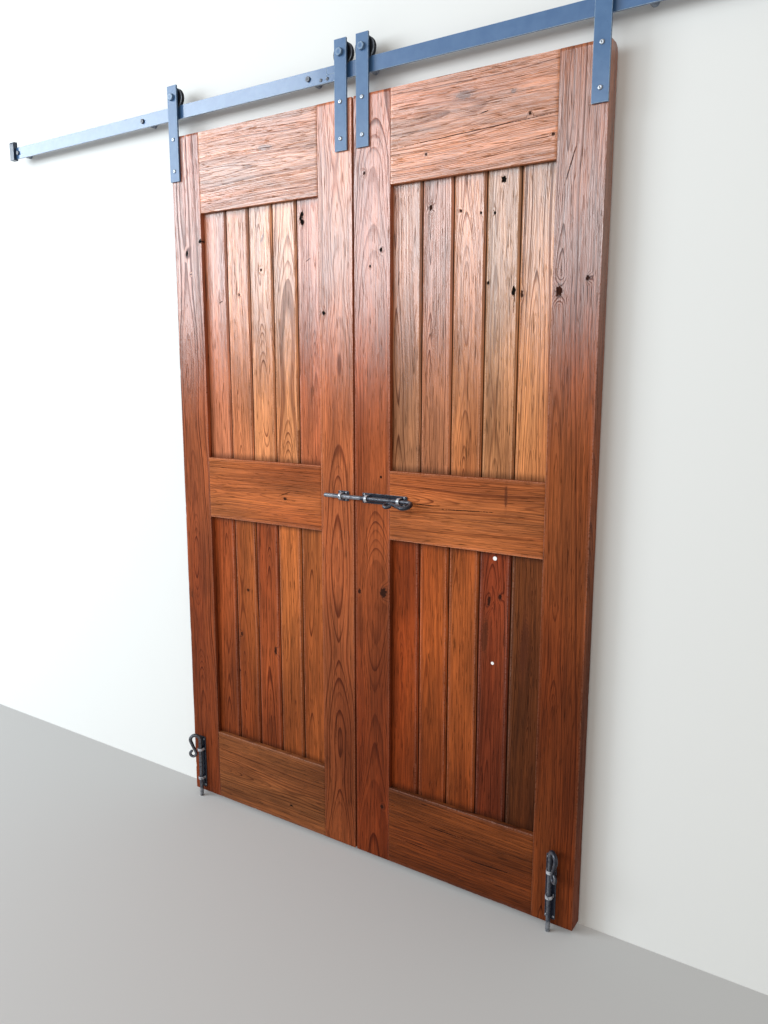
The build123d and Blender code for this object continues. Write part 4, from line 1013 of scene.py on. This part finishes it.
def bolt_rod(name, body, top, rod_way, crook_way, length, polished, seed, sides=20):
    """A forged rod along its path, with hammered dents; its end is polished by use."""
    work = opened()
    rod_way, crook_way, top = Vector(rod_way), Vector(crook_way), Vector(top)
    normal = crook_way.cross(rod_way)
    path = rod_path(length)
    rings, wears_and_highlights = [], []
    for index, (u, v, radius) in enumerate(path):
        before, after = path[max(0, index - 1)], path[min(len(path) - 1, index + 1)]
        heading = (crook_way * (after[0] - before[0]) + rod_way * (after[1] - before[1])).normalized()
        beside = normal.cross(heading)
        centre = top + crook_way * u + rod_way * v
        forged = 0.5 if index > length / 9 else 0.1
        bright = 0.4 if v + length < polished else 0.0
        points, wear_and_highlight = [], []
        for s in range(sides):
            angle = 2 * pi * s / sides
            out = normal * cos(angle) + beside * sin(angle)
            dent = noise.noise((centre + out * radius) * 0.11 + Vector((seed, 0, 0))) * 0.5 + 0.5
            points.append(centre + out * (radius - forged * dent))
            wear_and_highlight.append(max(bright, 0.12 + 0.12 * cos(4 * pi * s / sides + 0.6)))
        rings.append(points)
        wears_and_highlights.append(wear_and_highlight)
    add_rings(work, rings, wears_and_highlights)
    metal_piece(name, body, "wrought_iron", work)


def bolt_plate(name, body, outline, staples, along, across):
    """A forged plate with its staples, which stand at places on its front."""
    work = opened()
    add_flat(work, outline, PLATE_FRONT, LEAF_FRONT, PLATE_EASE, worn_and_lit=0.2)
    for place in staples:
        add_staple(work, place, along, across)
    metal_piece(name, body, "wrought_iron", work, FLAT)


def bolt_parts():
    """The drop bolts, the centre bolt and its keeper, with their plates' screws."""
    upright, level = (0, 0, 1), (1, 0, 0)
    asides = (-PLATE_SCREW_ASIDE, PLATE_SCREW_ASIDE)
    for hand, side in SIDES.items():
        body, drop = f"{hand}_leaf", DROP_BOLTS[hand]
        x, foot = drop["x"], LEAF_FOOT + PLATE_RISE
        outline = rounded_outline(x - PLATE_HALF, x + PLATE_HALF, foot, foot + PLATE_LENGTH)
        staples = [(x, PLATE_FRONT, LEAF_FOOT + height) for height in drop["staples"]]
        bolt_plate(f"{hand}_drop_bolt_plate", body, outline, staples, upright, level)
        ends = (foot + PLATE_SCREW_INSET, foot + PLATE_LENGTH - PLATE_SCREW_INSET)
        places = [(x + aside, PLATE_FRONT, z) for z in ends for aside in asides]

        name, start, end, along = CENTRE_PLATES[hand]
        outline = rounded_outline(min(start, end), max(start, end), BOLT_Z - PLATE_HALF, BOLT_Z + PLATE_HALF)
        bolt_plate(name, body, outline, [(run, PLATE_FRONT, BOLT_Z) for run in along], level, upright)
        ends = (start + side * PLATE_SCREW_INSET, end - side * PLATE_SCREW_INSET)
        places += [(run, PLATE_FRONT, BOLT_Z + aside) for run in ends for aside in asides]
        screw, seed = round_head(*PLATE_SCREW), SEEDS["plate"] + side
        set_fasteners(f"{hand}_plate_screws", body, "wrought_iron", screw, places, seed)

        turn, height = radians(drop["turn"]), drop["top"]
        bolt_rod(f"{hand}_drop_rod", f"{hand}_drop_bolt", (x, ROD_AXIS, LEAF_FOOT + height), upright,
                 (side * cos(turn), -sin(turn), 0), height + LEAF_FOOT - FLOOR, DROP_POLISHED,
                 SEEDS["drop_rod"] + side)
    droop = radians(BOLT_DROOP)
    bolt_rod("centre_bolt_rod", "centre_bolt", (BOLT_TOP, ROD_AXIS, BOLT_Z), level,
             (0, -cos(droop), -sin(droop)), BOLT_LENGTH, BOLT_POLISHED, SEEDS["centre_rod"])


rail_bars()
rail_fittings()
hanger_parts()
bolt_parts()


# The floor and the wall plane behind, which aren't part of the doors
def plain_surface(name, verts, colour, clear_from_behind):
    """A pale plane; one that is clear from behind also lets light through to the backs of the leaves."""
    mesh = bpy.data.meshes.new(name)
    mesh.from_pydata(verts, [], [(0, 1, 2, 3)])
    made, tree, shader, _ = new_material(name + "_paint")
    feed(tree, shader, {"Base Color": colour, "Roughness": 0.9})
    if clear_from_behind:
        behind = put(tree, "ShaderNodeNewGeometry").outputs["Backfacing"]
        paths = put(tree, "ShaderNodeLightPath").outputs
        passing = calc(tree, "MAXIMUM", paths["Is Shadow Ray"], paths["Is Diffuse Ray"])
        clear = put(tree, "ShaderNodeBsdfTransparent").outputs[0]
        both = put(tree, "ShaderNodeMixShader", calc(tree, "MAXIMUM", behind, passing), shader.outputs[0], clear)
        tree.links.new(both.outputs[0], tree.nodes["Material Output"].inputs["Surface"])
    mesh.materials.append(made)
    show(name, mesh)


def soft_light(name, left, right, low, high, radiance, colour):
    """A tall window as a softbox in a plane in front of the doors, given by its edges and how bright it looks."""
    lamp = bpy.data.lights.new(name, "AREA")
    lamp.shape, lamp.size, lamp.size_y, lamp.color = "RECTANGLE", right - left, high - low, colour
    lamp.energy = radiance * pi * (right - left) * (high - low)
    holder = show(name, lamp)
    holder.location = ((left + right) / 2, WINDOW_PLANE, (low + high) / 2)
    holder.rotation_euler = Vector((0, 1, 0)).to_track_quat("-Z", "Y").to_euler()


REACH, FLOOR_Z, WALL_Y, WALL_TOP = 12, FLOOR * MM, 0.0002, 6
floor_corners = [(x * REACH, y * REACH, FLOOR_Z) for x, y in ((-1, -1), (1, -1), (1, 1), (-1, 1))]
wall_corners = [(x * REACH, WALL_Y, z) for x, z in ((-1, FLOOR_Z), (1, FLOOR_Z), (1, WALL_TOP), (-1, WALL_TOP))]
plain_surface("studio_floor", floor_corners, (0.64, 0.64, 0.63, 1), False)
plain_surface("studio_wall", wall_corners, (0.76, 0.76, 0.74, 1), True)

# The lights' colours, and the windows that the varnish mirrors
WINDOW_PLANE = -4.5
DAYLIGHT, LAMPLIGHT = (0.84, 0.93, 1.0), (1.0, 0.92, 0.83)
soft_light("window_left", -10.0, -3.5, -0.7, 2.9, 9.6, DAYLIGHT)
soft_light("window_right", -3.5, -0.2, -0.35, 1.45, 5.8, DAYLIGHT)
soft_light("room_fill", 0.8, 3.8, -1.6, 1.4, 1.4, LAMPLIGHT)

world = bpy.data.worlds.new("studio")
world.use_nodes = True
bpy.context.scene.world = world
sky = world.node_tree
ambient = feed(sky, sky.nodes["Background"], {"Color": (1.0, 0.96, 0.91, 1), "Strength": 0.43}).outputs[0]
bright = put(sky, "ShaderNodeBackground", (1, 1, 1, 1), 1.0).outputs[0]
rays = put(sky, "ShaderNodeLightPath").outputs
seen = calc(sky, "MAXIMUM", rays["Is Camera Ray"], rays["Is Transmission Ray"])
both_skies = put(sky, "ShaderNodeMixShader", seen, ambient, bright).outputs[0]
sky.links.new(both_skies, sky.nodes["World Output"].inputs["Surface"])

# The camera, solved from the leaves' straight edges
CAMERA_PLACE = (1.2662, -1.8537, -0.7799)
YAW, PITCH, ROLL = 33.0437, -9.5442, 0.0534
FOCAL_PIXELS, PHOTO_HEIGHT, SENSOR = 799.55, 1024, 36.0
yaw, pitch, roll = radians(YAW), radians(PITCH), radians(ROLL)
forward = Vector((-sin(yaw) * cos(pitch), cos(yaw) * cos(pitch), sin(pitch)))
level_right = Vector((cos(yaw), sin(yaw), 0))
level_up = level_right.cross(forward)
right = cos(roll) * level_right + sin(roll) * level_up
up = cos(roll) * level_up - sin(roll) * level_right
camera_data = bpy.data.cameras.new("camera")
camera_data.sensor_fit = "AUTO"
camera_data.sensor_width = SENSOR
camera_data.lens = FOCAL_PIXELS * SENSOR / PHOTO_HEIGHT
camera = show("camera", camera_data)
camera.matrix_world = Matrix.Translation(CAMERA_PLACE) @ Matrix((right, up, -forward)).transposed().to_4x4()
bpy.context.scene.camera = camera
bpy.context.scene.view_settings.view_transform = "Standard"
